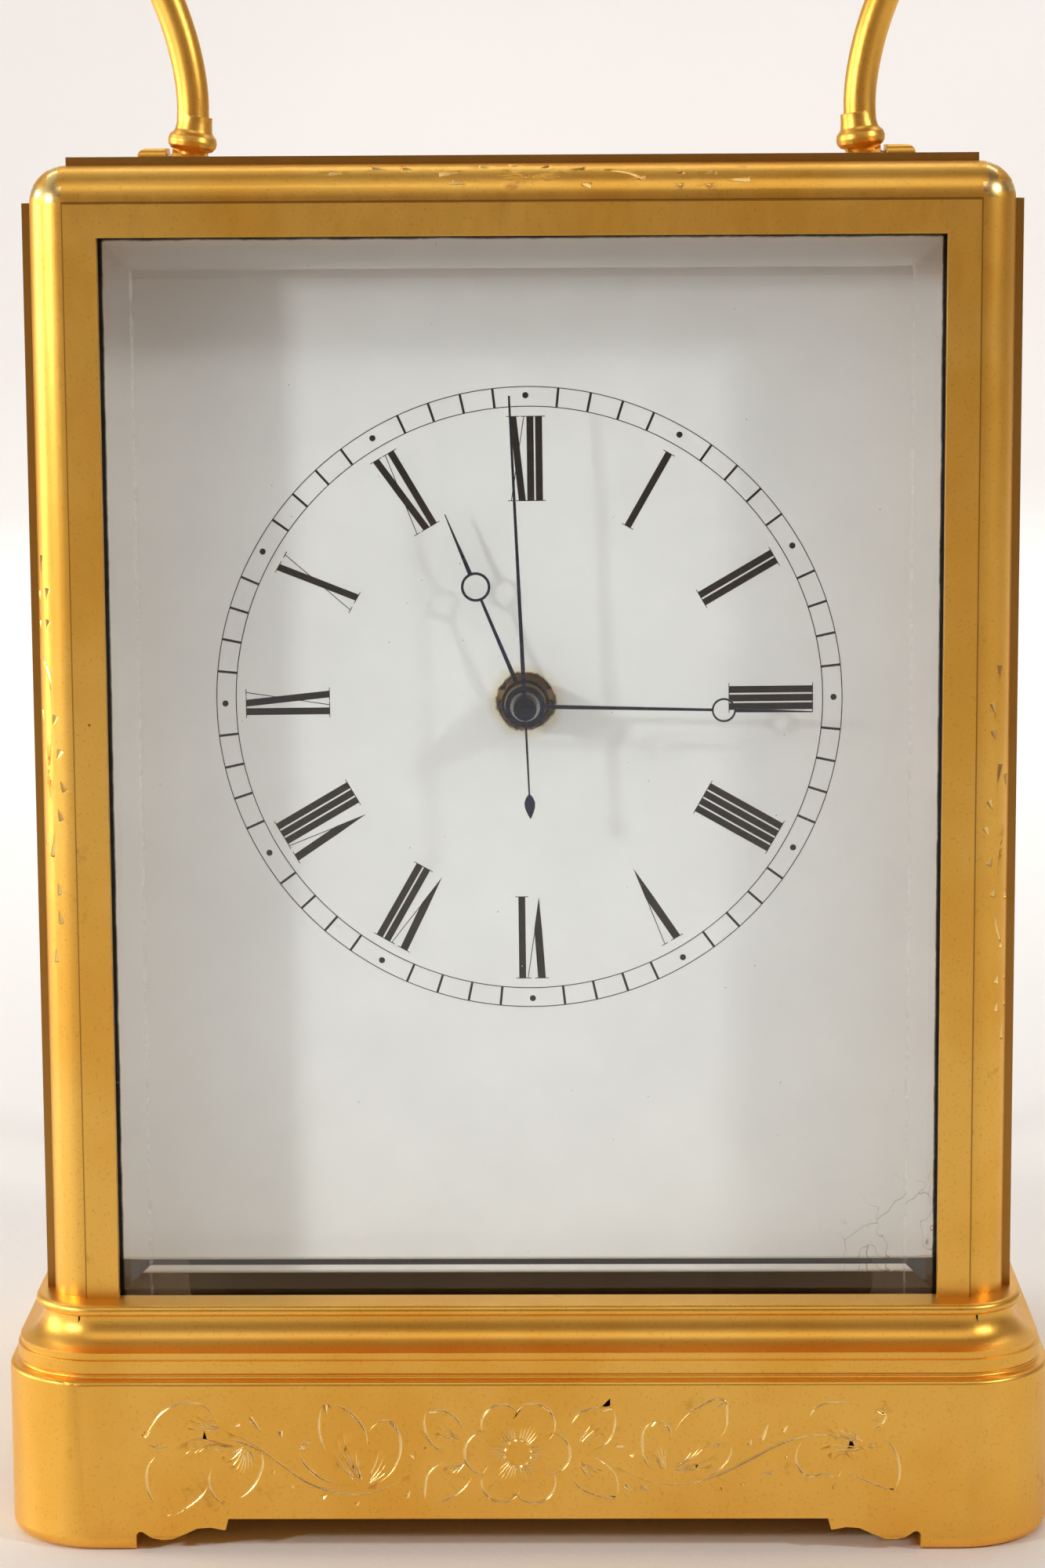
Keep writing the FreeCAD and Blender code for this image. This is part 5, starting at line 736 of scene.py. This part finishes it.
PATTERN_TOP = 15.4           # the plinth pattern's upper end, from which it is stretched
PATTERN_TALL = 1.09
PATTERN_WIDE = 1.036
PATTERN_SHIFT = -0.25


def on_plinth(u, v, lift):
    wide = u * PATTERN_WIDE + PATTERN_SHIFT
    tall = PATTERN_TOP - (PATTERN_TOP - v) * PATTERN_TALL
    return Vector((wide * MM, PLINTH_FACE - lift * MM, tall * MM))


def on_top_round(u, v, lift):
    turn = math.radians(45) + v / ROUND
    reach = (ROUND + lift) * MM
    return Vector((u * MM, CASE_LOW.y + ROUND_IN - reach * math.cos(turn),
                   CASE_HIGH.z - ROUND_IN + reach * math.sin(turn)))


def on_side_round(side):
    def place(u, v, lift):
        turn = math.radians(45) + v / ROUND
        reach = (ROUND + lift) * MM
        return Vector((side * (CASE_HIGH.x - ROUND_IN + reach * math.cos(turn)),
                       CASE_LOW.y + ROUND_IN - reach * math.sin(turn), u * MM))
    return place


def graver_cut(face, points, width, taper=(0.35, 1.0, 0.35)):
    """A slim closed cutter along a smooth line; taper is its relative width at the start, middle and end."""
    clear_selection()
    bpy.ops.curve.primitive_bezier_curve_add()
    line = bpy.context.object
    spline = line.data.splines[0]
    spline.bezier_points.add(max(0, len(points) - 2))
    last = len(points) - 1
    for index, (u, v) in enumerate(points):
        knot = spline.bezier_points[index]
        knot.co = face(u, v, width * GRAVER_LIFT)
        knot.handle_left_type = knot.handle_right_type = "AUTO"
        along = index / last
        knot.radius = (taper[0] + (taper[1] - taper[0]) * along * 2 if along < 0.5
                       else taper[1] + (taper[2] - taper[1]) * (along * 2 - 1))
    line.data.dimensions = "3D"
    line.data.resolution_u = 5 if last > 1 else 2
    line.data.bevel_depth = width * MM
    line.data.bevel_resolution = 1
    line.data.use_fill_caps = True
    bpy.ops.object.convert(target="MESH")
    cutter = bpy.context.object
    start_edit(cutter)
    bpy.ops.mesh.select_all(action="SELECT")
    bpy.ops.mesh.remove_doubles(threshold=CLOSE_TO)
    bpy.ops.mesh.normals_make_consistent(inside=False)
    end_edit()
    return settle(cutter)


def enlarge(obj, times):
    """Scales a mesh about the origin; small cuts come out clean when they are made at a larger size."""
    start_edit(obj)
    bpy.ops.mesh.select_all(action="SELECT")
    bpy.ops.transform.resize(value=(times, times, times), center_override=(0.0, 0.0, 0.0))
    end_edit()


def select_faces(obj, test):
    """Selects, in edit mode, the faces whose middle and normal pass the test, and nothing else."""
    drop_selection(obj)
    for face in obj.data.polygons:
        face.select = test(face.center, face.normal)
    bpy.ops.object.mode_set(mode="EDIT")
    bpy.ops.mesh.select_mode(type="FACE")


def gridded(obj, test, lines):
    """Divides the chosen faces along planes, so that no cut has to share a very large face."""
    start_edit(obj)
    select_faces(obj, test)
    bpy.ops.mesh.hide(unselected=True)
    for place, normal in lines:
        bpy.ops.mesh.select_all(action="SELECT")
        bpy.ops.mesh.bisect(plane_co=place, plane_no=normal)
    bpy.ops.mesh.reveal(select=False)
    end_edit()


def engraved(node, cutters, name, outward, lines):
    """Cuts the strokes into a copy of the node, which then stands for it.

    outward gives the way out of the engraved surface at a point on it, and nothing elsewhere.
    """
    def on_surface(middle, normal):
        way = outward(middle)
        return way is not None and way.dot(normal) > WITH_FACE

    def turned_in(middle, normal):
        way = outward(middle)
        return way is not None and way.dot(normal) < TURNED_IN

    cutter = joined(cutters, name + "_cuts")
    piece = copied(frame["nodes"][node])
    piece.parent = None
    piece.name = name
    for key in list(piece.keys()):
        if key.startswith("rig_"):
            del piece[key]
    enlarge(cutter, 1.0 / MM)
    enlarge(piece, 1.0 / MM)
    start_edit(piece)
    bpy.ops.mesh.select_all(action="SELECT")
    bpy.ops.mesh.remove_doubles(threshold=CLOSE_TO / MM)
    bpy.ops.mesh.customdata_custom_splitnormals_clear()
    end_edit()
    gridded(piece, on_surface, lines)
    cut = piece.modifiers.new("cut", "BOOLEAN")
    cut.operation = "DIFFERENCE"
    cut.object = cutter
    cut.solver = "MANIFOLD"
    bpy.ops.object.modifier_apply(modifier="cut")
    triangles = piece.modifiers.new("triangles", "TRIANGULATE")
    triangles.ngon_method = "BEAUTY"
    bpy.ops.object.modifier_apply(modifier="triangles")
    bpy.data.objects.remove(cutter)
    start_edit(piece)
    select_faces(piece, turned_in)
    bpy.ops.mesh.delete(type="FACE")
    end_edit()
    enlarge(piece, MM)
    bpy.ops.object.shade_smooth_by_angle(angle=CREASE)
    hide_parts(node)
    return piece


def arc_points(centre, radius, start, end, count):
    step = (end - start) / (count - 1)
    return [(centre[0] + radius * math.cos(math.radians(start + step * i)),
             centre[1] + radius * math.sin(math.radians(start + step * i))) for i in range(count)]


def fan(face, root, tips, width=HATCH, bend=0.0):
    """Hatching that spreads from a root towards the tips, each line starting a little way out."""
    cuts = []
    for index, tip in enumerate(tips):
        start = tuple(root[k] + (tip[k] - root[k]) * (0.16 + 0.07 * (index % 3)) for k in (0, 1))
        across = (-(tip[1] - root[1]) * bend, (tip[0] - root[0]) * bend)
        middle = tuple((start[k] + tip[k]) / 2 + across[k] for k in (0, 1))
        cuts.append(graver_cut(face, (start, middle, tip), width, (1.0, 0.8, 0.2)))
    return cuts


FLOWER = (-0.7, 10.6)
FLOWER_DISC = 1.25
PETALS = 6
PETAL_AT = 3.05
PETAL_RADIUS = 1.95
PETAL_RAYS = (-19.0, -11.0, -3.5, 4.0, 12.0, 20.0)
RAY_REACH = 3.5
BEADS = 12                   # short strokes round the flower's disc


def plinth_flower():
    cuts = []
    for step in range(BEADS):
        start = step * 360.0 / BEADS
        bead = arc_points(FLOWER, FLOWER_DISC, start, start + 24.0, 3)
        cuts.append(graver_cut(on_plinth, bead, OUTLINE * 0.9))
    for petal in range(PETALS):
        turn = petal * 360.0 / PETALS
        middle = arc_points(FLOWER, PETAL_AT, turn, turn + 1.0, 2)[0]
        radius = PETAL_RADIUS * (1.0 + 0.05 * (petal % 2))
        outline = arc_points(middle, radius, turn - 118.0, turn + 112.0, 7)
        cuts.append(graver_cut(on_plinth, outline, OUTLINE))
        for ray in PETAL_RAYS:
            reach = RAY_REACH - abs(ray) * 0.035
            rim = arc_points(FLOWER, FLOWER_DISC + 0.14, turn + ray * 1.1, turn + ray, 2)[0]
            tip = arc_points(FLOWER, reach, turn + ray, turn + ray + 1.0, 2)[0]
            cuts.append(graver_cut(on_plinth, (rim, tip), HATCH, (1.0, 0.7, 0.3)))
    return cuts


# Outlines of the leaves and stems, each a smooth line through a few points.
PLINTH_LINES = (
    # the end leaves on the left
    ((-36.5, 12.0), (-35.9, 13.0), (-34.6, 14.6), (-32.3, 15.4), (-30.4, 14.9), (-29.4, 13.3)),
    ((-36.3, 11.6), (-35.2, 11.2), (-33.9, 11.3)),
    ((-35.3, 10.4), (-36.1, 9.5), (-36.3, 7.8), (-35.9, 6.4), (-35.3, 5.6)),
    ((-34.1, 4.5), (-32.5, 5.5), (-31.0, 6.7), (-30.3, 7.7)),
    ((-30.0, 9.5), (-30.3, 7.8), (-29.7, 6.4), (-28.8, 5.8)),
    ((-28.7, 5.8), (-26.8, 6.8), (-25.5, 8.5), (-25.2, 10.4), (-26.1, 11.4)),
    # the stem on the left
    ((-29.4, 13.0), (-26.2, 11.6), (-23.3, 9.5), (-20.3, 7.6), (-17.7, 6.9), (-15.5, 6.8), (-12.9, 7.5),
     (-10.8, 8.8)),
    ((-29.0, 12.1), (-26.4, 11.4), (-24.4, 10.2)),
    # the three leaves on the left
    ((-21.8, 11.0), (-21.3, 9.9), (-20.3, 8.8), (-19.0, 8.0), (-16.5, 7.6)),
    ((-21.8, 11.1), (-21.1, 11.6), (-20.3, 11.5)),
    ((-19.4, 15.2), (-19.7, 13.4), (-19.5, 11.8), (-19.0, 10.4)),
    ((-19.4, 15.3), (-17.4, 14.9), (-16.1, 13.9), (-15.2, 12.4), (-15.1, 10.9)),
    ((-15.1, 12.1), (-14.5, 13.2), (-13.0, 13.7), (-12.2, 12.8), (-11.9, 11.1), (-12.4, 9.5), (-13.5, 8.2),
     (-15.3, 7.3)),
    # the pair left of the flower
    ((-9.4, 14.9), (-9.6, 13.1), (-8.8, 11.4), (-7.5, 10.6)),
    ((-9.3, 14.7), (-7.7, 14.6), (-6.4, 13.7), (-5.7, 12.4)),
    ((-7.4, 10.0), (-9.2, 8.8), (-9.6, 7.2), (-9.6, 5.9)),
    ((-9.5, 5.9), (-7.7, 6.2), (-5.9, 7.3), (-5.0, 8.5)),
    # the pair right of the flower
    ((4.3, 13.2), (5.4, 14.5), (8.5, 15.0)),
    ((8.5, 15.0), (8.6, 13.4), (7.9, 11.7), (6.1, 10.7)),
    ((4.3, 8.6), (5.3, 7.3), (6.9, 6.6), (8.8, 6.1)),
    ((8.8, 6.2), (8.8, 8.1), (7.9, 9.4), (6.1, 10.5)),
    # the stem on the right
    ((8.7, 9.4), (10.5, 8.4), (13.1, 7.7), (16.0, 7.8), (18.6, 8.6), (21.9, 10.2), (24.5, 11.5),
     (27.1, 12.2), (29.7, 12.2), (31.6, 11.5), (32.8, 10.6)),
    # the three leaves on the right
    ((12.4, 13.7), (11.5, 13.0), (11.2, 11.4), (11.6, 9.7), (13.1, 8.3)),
    ((12.4, 13.7), (13.6, 13.2), (14.1, 12.0)),
    ((14.1, 12.0), (15.0, 13.7), (16.7, 15.0), (18.9, 15.6), (19.3, 14.0), (19.1, 12.7), (18.4, 11.9)),
    ((19.8, 11.5), (19.6, 10.4), (18.6, 9.1), (16.7, 7.9)),
    ((19.8, 11.6), (18.3, 11.4), (17.6, 11.0)),
    # the end leaves on the right
    ((27.1, 13.7), (27.7, 14.8), (29.7, 15.4), (32.1, 15.1)),
    ((32.9, 14.8), (34.4, 14.2), (33.9, 13.2), (33.1, 12.7)),
    ((26.8, 11.9), (26.0, 10.9), (26.1, 9.4), (27.2, 8.4), (28.7, 8.7), (29.9, 8.3), (29.8, 10.1)),
    ((30.2, 9.1), (32.3, 8.1), (34.1, 7.4), (35.3, 6.9)),
    ((35.3, 6.9), (35.8, 8.4), (35.4, 10.7), (33.9, 12.4)),
)
# Wedge-shaped nicks, each from its deep end to its point.
PLINTH_NICKS = (
    ((-27.3, 13.4), (-28.0, 13.0)), ((-26.3, 14.0), (-24.6, 11.8)), ((-23.4, 12.7), (-23.3, 11.7)),
    ((-24.3, 8.7), (-23.8, 9.1)), ((-22.1, 7.3), (-22.6, 7.9)), ((-19.5, 6.4), (-18.8, 6.7)),
    ((-16.3, 5.7), (-15.7, 6.2)), ((-11.4, 6.4), (-10.8, 7.4)), ((-10.5, 10.3), (-11.3, 10.5)),
    ((-9.5, 11.0), (-9.8, 11.3)), ((-36.6, 12.1), (-35.5, 13.0)), ((-34.3, 4.9), (-33.9, 4.4)),
    ((-19.1, 15.2), (-18.9, 13.8)), ((-21.6, 11.2), (-20.5, 10.9)), ((-12.7, 13.5), (-12.3, 12.5)),
    ((-9.2, 14.6), (-7.6, 14.4)), ((8.3, 14.9), (6.8, 14.3)), ((8.6, 6.3), (7.2, 6.7)),
    ((9.6, 7.6), (10.6, 6.5)), ((11.1, 7.5), (12.4, 6.6)), ((8.7, 11.3), (10.2, 11.1)),
    ((10.2, 10.5), (10.4, 10.0)), ((21.4, 11.3), (21.8, 12.3)), ((22.6, 11.8), (23.6, 14.1)),
    ((24.6, 12.6), (25.4, 13.5)), ((24.9, 10.3), (25.2, 10.1)), ((23.7, 8.7), (22.0, 8.9)),
    ((20.9, 7.6), (20.2, 7.9)), ((18.7, 7.2), (18.9, 7.3)), ((29.4, 7.3), (29.6, 7.3)),
    ((34.4, 14.3), (33.2, 14.6)), ((35.2, 7.0), (34.5, 7.3)), ((19.0, 15.5), (18.0, 14.6)),
    ((12.3, 13.6), (12.0, 12.8)), ((-28.9, 5.9), (-29.5, 6.2)),
)
# Hatching: a root, the tips that it spreads to, and how much the lines bend.
PLINTH_FANS = (
    ((-26.8, 11.6), ((-35.2, 9.7), (-34.5, 10.1), (-33.7, 9.1), (-32.9, 9.3), (-32.2, 9.6),
                     (-31.2, 10.2)), -0.16),
    ((-26.6, 11.4), ((-29.5, 10.2), (-29.0, 9.6), (-28.6, 9.0), (-28.2, 8.4), (-27.7, 8.2), (-27.2, 8.2),
                     (-26.7, 8.5), (-26.2, 8.9), (-25.8, 9.5)), 0.05),
    ((-28.6, 12.8), ((-32.6, 14.1), (-32.2, 13.6), (-31.6, 14.4), (-32.8, 13.2)), 0.05),
    ((-15.6, 7.4), ((-18.4, 12.9), (-17.6, 13.4), (-18.6, 11.2), (-17.3, 11.9), (-16.7, 11.0), (-16.2, 11.4),
                    (-18.3, 10.3), (-15.9, 10.6)), 0.04),
    ((-15.2, 7.5), ((-13.2, 11.0), (-12.9, 10.3), (-13.9, 11.4), (-13.4, 9.6), (-12.9, 9.3)), -0.04),
    ((-6.0, 11.6), ((-8.5, 13.5), (-8.0, 13.9), (-8.7, 12.8), (-7.5, 13.4)), 0.04),
    ((-5.7, 9.8), ((-8.2, 9.0), (-7.8, 8.4), (-7.3, 8.3), (-6.8, 8.2)), -0.04),
    ((5.0, 11.4), ((7.4, 13.2), (6.8, 13.7), (7.8, 12.6), (6.2, 13.2)), 0.04),
    ((4.9, 9.9), ((7.4, 8.6), (7.0, 8.2), (6.4, 8.0), (7.8, 8.9)), -0.04),
    ((13.4, 8.6), ((12.0, 11.3), (12.5, 11.6), (12.9, 11.9), (13.4, 11.6), (12.2, 10.7)), 0.0),
    ((13.9, 8.7), ((18.0, 12.3), (17.2, 11.9), (18.4, 10.7), (17.4, 10.2), (16.4, 11.6), (18.1, 9.7),
                   (16.6, 9.3)), -0.06),
    ((32.6, 11.4), ((27.9, 12.9), (28.6, 13.2), (29.4, 13.5), (30.3, 13.4), (31.0, 13.2)), 0.06),
    ((32.2, 11.2), ((27.6, 10.8), (28.4, 10.1), (29.2, 9.8), (30.2, 10.3), (31.2, 10.2)), -0.08),
    ((32.6, 11.3), ((33.9, 10.8), (33.9, 11.2), (33.8, 11.6)), 0.0),
)


def plinth_engraving():
    cuts = plinth_flower()
    cuts += [graver_cut(on_plinth, line, OUTLINE) for line in PLINTH_LINES]
    cuts += [graver_cut(on_plinth, nick, GOUGE, (1.0, 0.6, 0.1)) for nick in PLINTH_NICKS]
    for root, tips, bend in PLINTH_FANS:
        cuts += fan(on_plinth, root, tips, HATCH, bend)
    return cuts


# The spray on each quarter-round: wedge cuts from their deep end to their point, a stem and a burst of rays.
SPRAY_WEDGES = (
    ((-22.0, -0.8), (-18.2, -0.8)), ((-18.7, 0.2), (-16.9, -0.1)), ((-15.5, 0.2), (-14.0, -0.2)),
    ((-18.4, -1.5), (-16.9, -1.3)), ((-15.4, -1.5), (-14.2, -1.2)), ((-11.7, -0.5), (-9.4, -0.8)),
    ((-5.8, 0.9), (-4.2, 0.3)), ((-2.3, 1.4), (-0.9, 0.7)), ((1.9, 1.8), (0.4, 1.1)),
    ((4.9, 1.4), (3.3, 0.7)), ((8.8, 0.0), (5.2, 0.7)), ((12.6, 1.0), (10.8, 0.5)),
    ((15.6, 1.1), (13.5, 0.5)), ((19.7, 0.3), (17.3, 0.2)),
    ((-6.3, -1.4), (-4.6, -0.9)), ((7.6, -0.9), (5.2, -1.2)), ((0.0, -0.4), (0.3, -0.1)),
)
SPRAY_STEM = ((-11.3, -0.6), (-9.6, 0.2), (-8.3, 0.4), (-6.6, 0.3))
SPRAY_HEART = (0.0, -0.2)
SPRAY_RAYS = ((-4.2, 0.4), (-3.6, 0.0), (-4.0, -0.4), (-3.2, -0.7), (-2.6, -1.1), (3.0, 0.7), (3.6, 0.3),
              (3.9, -0.1), (3.0, -0.6), (2.4, -1.0))
WEDGE = 0.42


def spray(face, middle, stretch):
    """One spray: stretch is its length against the pattern, negative where it runs the other way."""
    def laid(u, v, lift):
        return face(middle + u * stretch, v, lift)
    cuts = [graver_cut(laid, wedge, WEDGE, (1.0, 0.6, 0.08)) for wedge in SPRAY_WEDGES]
    cuts.append(graver_cut(laid, SPRAY_STEM, WEDGE * 0.6, (0.7, 1.0, 0.1)))
    return cuts + fan(laid, SPRAY_HEART, SPRAY_RAYS)


# Each spray's middle along its quarter-round, in millimetres, and its length against the pattern.
TOP_SPRAY = (0.6, -0.97)
LEFT_SPRAY = (77.5, -0.97)
RIGHT_SPRAY = (70.0, 0.9)


def case_engraving():
    cuts = spray(on_top_round, *TOP_SPRAY)
    cuts += spray(on_side_round(-1), *LEFT_SPRAY)
    return cuts + spray(on_side_round(1), *RIGHT_SPRAY)


GRID = 1.1                   # spacing of the dividing planes, in millimetres
NEAR = 0.02                  # faces nearer than this to an engraved surface lie on it
FRONT = Vector((0.0, -1.0, 0.0))


def out_of_plinth(middle):
    return FRONT if abs(middle.y - PLINTH_FACE / MM) < NEAR else None


def out_of_rounds(middle):
    """Away from the middle line of the quarter-round that the point lies on, if it lies on one."""
    back = CASE_LOW.y / MM + ROUND_IN / MM
    if middle.y > back:
        return None
    for side in (-1.0, 1.0):
        beside = (middle.x - side * (CASE_HIGH.x - ROUND_IN) / MM) * side
        way = Vector((beside * side, middle.y - back, 0.0))
        if beside > 0.0 and abs(way.length - ROUND) < NEAR * 2.0:
            return way.normalized()
    above = middle.z - (CASE_HIGH.z - ROUND_IN) / MM
    way = Vector((0.0, middle.y - back, above))
    return way.normalized() if above > 0.0 and abs(way.length - ROUND) < NEAR * 2.0 else None


def planes(axis, low, high):
    """Dividing planes across an axis, at even spacing, as a place and a normal each."""
    normal = Vector([1.0 if k == axis else 0.0 for k in range(3)])
    count = int((high - low) / GRID) + 1
    return [(normal * (low + GRID * step), normal) for step in range(count)]


PLINTH_PLANES = planes(0, -38.0, 38.0) + planes(2, 3.7, 17.0)
ROUND_PLANES = planes(0, -24.0, 24.0) + planes(2, 46.0, 101.0)
ENGRAVED_BASE = engraved("base", plinth_engraving(), "engraved_base", out_of_plinth, PLINTH_PLANES)
finished(ENGRAVED_BASE, GILT_BASE, "case")
ENGRAVED_CASE = engraved("case_body", case_engraving(), "engraved_case", out_of_rounds, ROUND_PLANES)
finished(ENGRAVED_CASE, GILT_ENGRAVED, "case")


# ---- stage, lights and camera --------------------------------------------------------
def paper_white():
    f = Finish("pale_paper")
    tone = f.noise(3.0, 2.0)
    colour = f.ramp(tone, (0.3, (0.91, 0.90, 0.88, 1.0)), (0.7, (0.94, 0.93, 0.92, 1.0)))
    f.set(Base_Color=colour, Roughness=0.75, Normal=f.bump(f.noise(900.0, 3.0), 0.05 * MM))
    return f.material


SWEEP_SIZE = 6.0
SWEEP_STEPS = 12
SWEEP_STEP = 0.10
SWEEP_RISE = 2.5


def studio_sweep():
    """A floor that curves up into a backdrop behind the clock."""
    clear_selection()
    bpy.ops.mesh.primitive_plane_add(size=SWEEP_SIZE, location=(0.0, -1.8, 0.0))
    sweep = settle(bpy.context.object)
    start_edit(sweep)
    pick_vertices(sweep, lambda co: co.y > 0.0)
    for step in range(SWEEP_STEPS):
        angle = math.radians(90.0 / SWEEP_STEPS * (step + 0.5))
        onward = (0.0, SWEEP_STEP * math.cos(angle), SWEEP_STEP * math.sin(angle))
        bpy.ops.mesh.extrude_region_move(TRANSFORM_OT_translate={"value": onward})
    bpy.ops.mesh.extrude_region_move(TRANSFORM_OT_translate={"value": (0.0, 0.0, SWEEP_RISE)})
    end_edit()
    bpy.ops.object.shade_smooth()
    sweep.name = "studio_sweep"
    sweep.data.materials.append(paper_white())


def soft_light(name, place, aim, size, power, colour=(1.0, 1.0, 1.0)):
    lamp = bpy.data.lights.new(name, "AREA")
    lamp.shape = "RECTANGLE"
    lamp.size, lamp.size_y = size
    lamp.energy = power
    lamp.color = colour
    holder = bpy.data.objects.new(name, lamp)
    holder.location = place
    holder.rotation_euler = (Vector(aim) - Vector(place)).to_track_quat("-Z", "Y").to_euler()
    bpy.context.scene.collection.objects.link(holder)
    return holder


def around(azimuth, elevation, distance):
    """A place round the clock: azimuth 0 is in front of the dial, positive to its right."""
    a, e = math.radians(azimuth), math.radians(elevation)
    flat = distance * math.cos(e)
    return Vector((flat * math.sin(a), -flat * math.cos(a), HUB.z + distance * math.sin(e)))


ROOM_BROWN = (0.23, 0.135, 0.08, 1.0)
ROOM_PALE = (0.95, 0.94, 0.91, 1.0)
ROOM_STRENGTH = 0.62
PALE_FROM = -0.55            # the room turns pale between these two directions
PALE_TO = 0.35


def studio_air():
    """The room's light: pale behind and beside the clock, brown and dim in front of it and overhead."""
    world = bpy.data.worlds.new("studio")
    world.use_nodes = True
    tree = world.node_tree
    nodes, links = tree.nodes, tree.links
    direction = nodes.new("ShaderNodeTexCoord").outputs["Generated"]
    parts = nodes.new("ShaderNodeSeparateXYZ")
    links.new(direction, parts.inputs[0])
    across, depth, height = [Wire(tree, out) for out in parts.outputs]
    pale = nodes.new("ShaderNodeMapRange")
    pale.interpolation_type = "SMOOTHSTEP"
    facing = depth - across * 0.55 - height.greater(0.0) * 0.25
    for name, value in (("Value", facing), ("From Min", PALE_FROM), ("From Max", PALE_TO)):
        connect(tree, pale.inputs[name], value)
    blend = nodes.new("ShaderNodeMix")
    blend.data_type = "RGBA"
    links.new(pale.outputs[0], blend.inputs[0])
    blend.inputs[6].default_value = ROOM_BROWN
    blend.inputs[7].default_value = ROOM_PALE
    links.new(blend.outputs[2], nodes["Background"].inputs["Color"])
    nodes["Background"].inputs["Strength"].default_value = ROOM_STRENGTH
    bpy.context.scene.world = world


PANE = (0.05, 0.07)
WINDOW_FAR = 0.75
BACKDROP_LAMP = (0.0, 0.5, 1.0)
BACKDROP_AIM = (0.0, 1.4, 0.30)
WARM_WHITE = (1.0, 0.98, 0.95)


def studio_light():
    """Two small windows that cast the frame's shadow on the dial, and broad soft light from elsewhere."""
    studio_air()
    soft_light("window_left", around(-54, 15, WINDOW_FAR), HUB, PANE, 1.75)
    soft_light("window_right", around(57, 28, WINDOW_FAR), HUB, PANE, 1.35)
    soft_light("side_window", around(-96, 8, 0.9), HUB, (0.25, 0.5), 2.6)
    soft_light("front_fill", around(0, 50, 1.1), HUB, (0.9, 0.4), 1.5, WARM_WHITE)
    soft_light("backdrop_light", BACKDROP_LAMP, BACKDROP_AIM, (1.6, 0.6), 16.5)


CAMERA_PLACE = Vector((5.17, -424.24, 135.78)) * MM
CAMERA_YAW = math.radians(-0.803)
CAMERA_PITCH = math.radians(8.808)
CAMERA_ROLL = math.radians(0.33)
FOCAL_LENGTH = 90.9          # in millimetres, as is the sensor
SENSOR_WIDTH = 36.0


def camera():
    """A camera close in front of the clock and a little above its middle, looking slightly down."""
    yaw, pitch, roll = CAMERA_YAW, CAMERA_PITCH, CAMERA_ROLL
    ahead = Vector((math.sin(yaw) * math.cos(pitch), math.cos(yaw) * math.cos(pitch), -math.sin(pitch)))
    level = Vector((math.cos(yaw), -math.sin(yaw), 0.0))
    down = ahead.cross(level)
    right = math.cos(roll) * level + math.sin(roll) * down
    up = math.sin(roll) * level - math.cos(roll) * down
    lens = bpy.data.cameras.new("camera")
    lens.lens = FOCAL_LENGTH
    lens.sensor_width = SENSOR_WIDTH
    lens.clip_start = 0.02
    lens.clip_end = 20.0
    holder = bpy.data.objects.new("camera", lens)
    turn = Matrix((right, up, -ahead)).transposed().to_4x4()
    holder.matrix_world = Matrix.Translation(CAMERA_PLACE) @ turn
    bpy.context.scene.collection.objects.link(holder)
    bpy.context.scene.camera = holder


studio_sweep()
studio_light()
camera()
bpy.context.scene.view_settings.view_transform = "Standard"
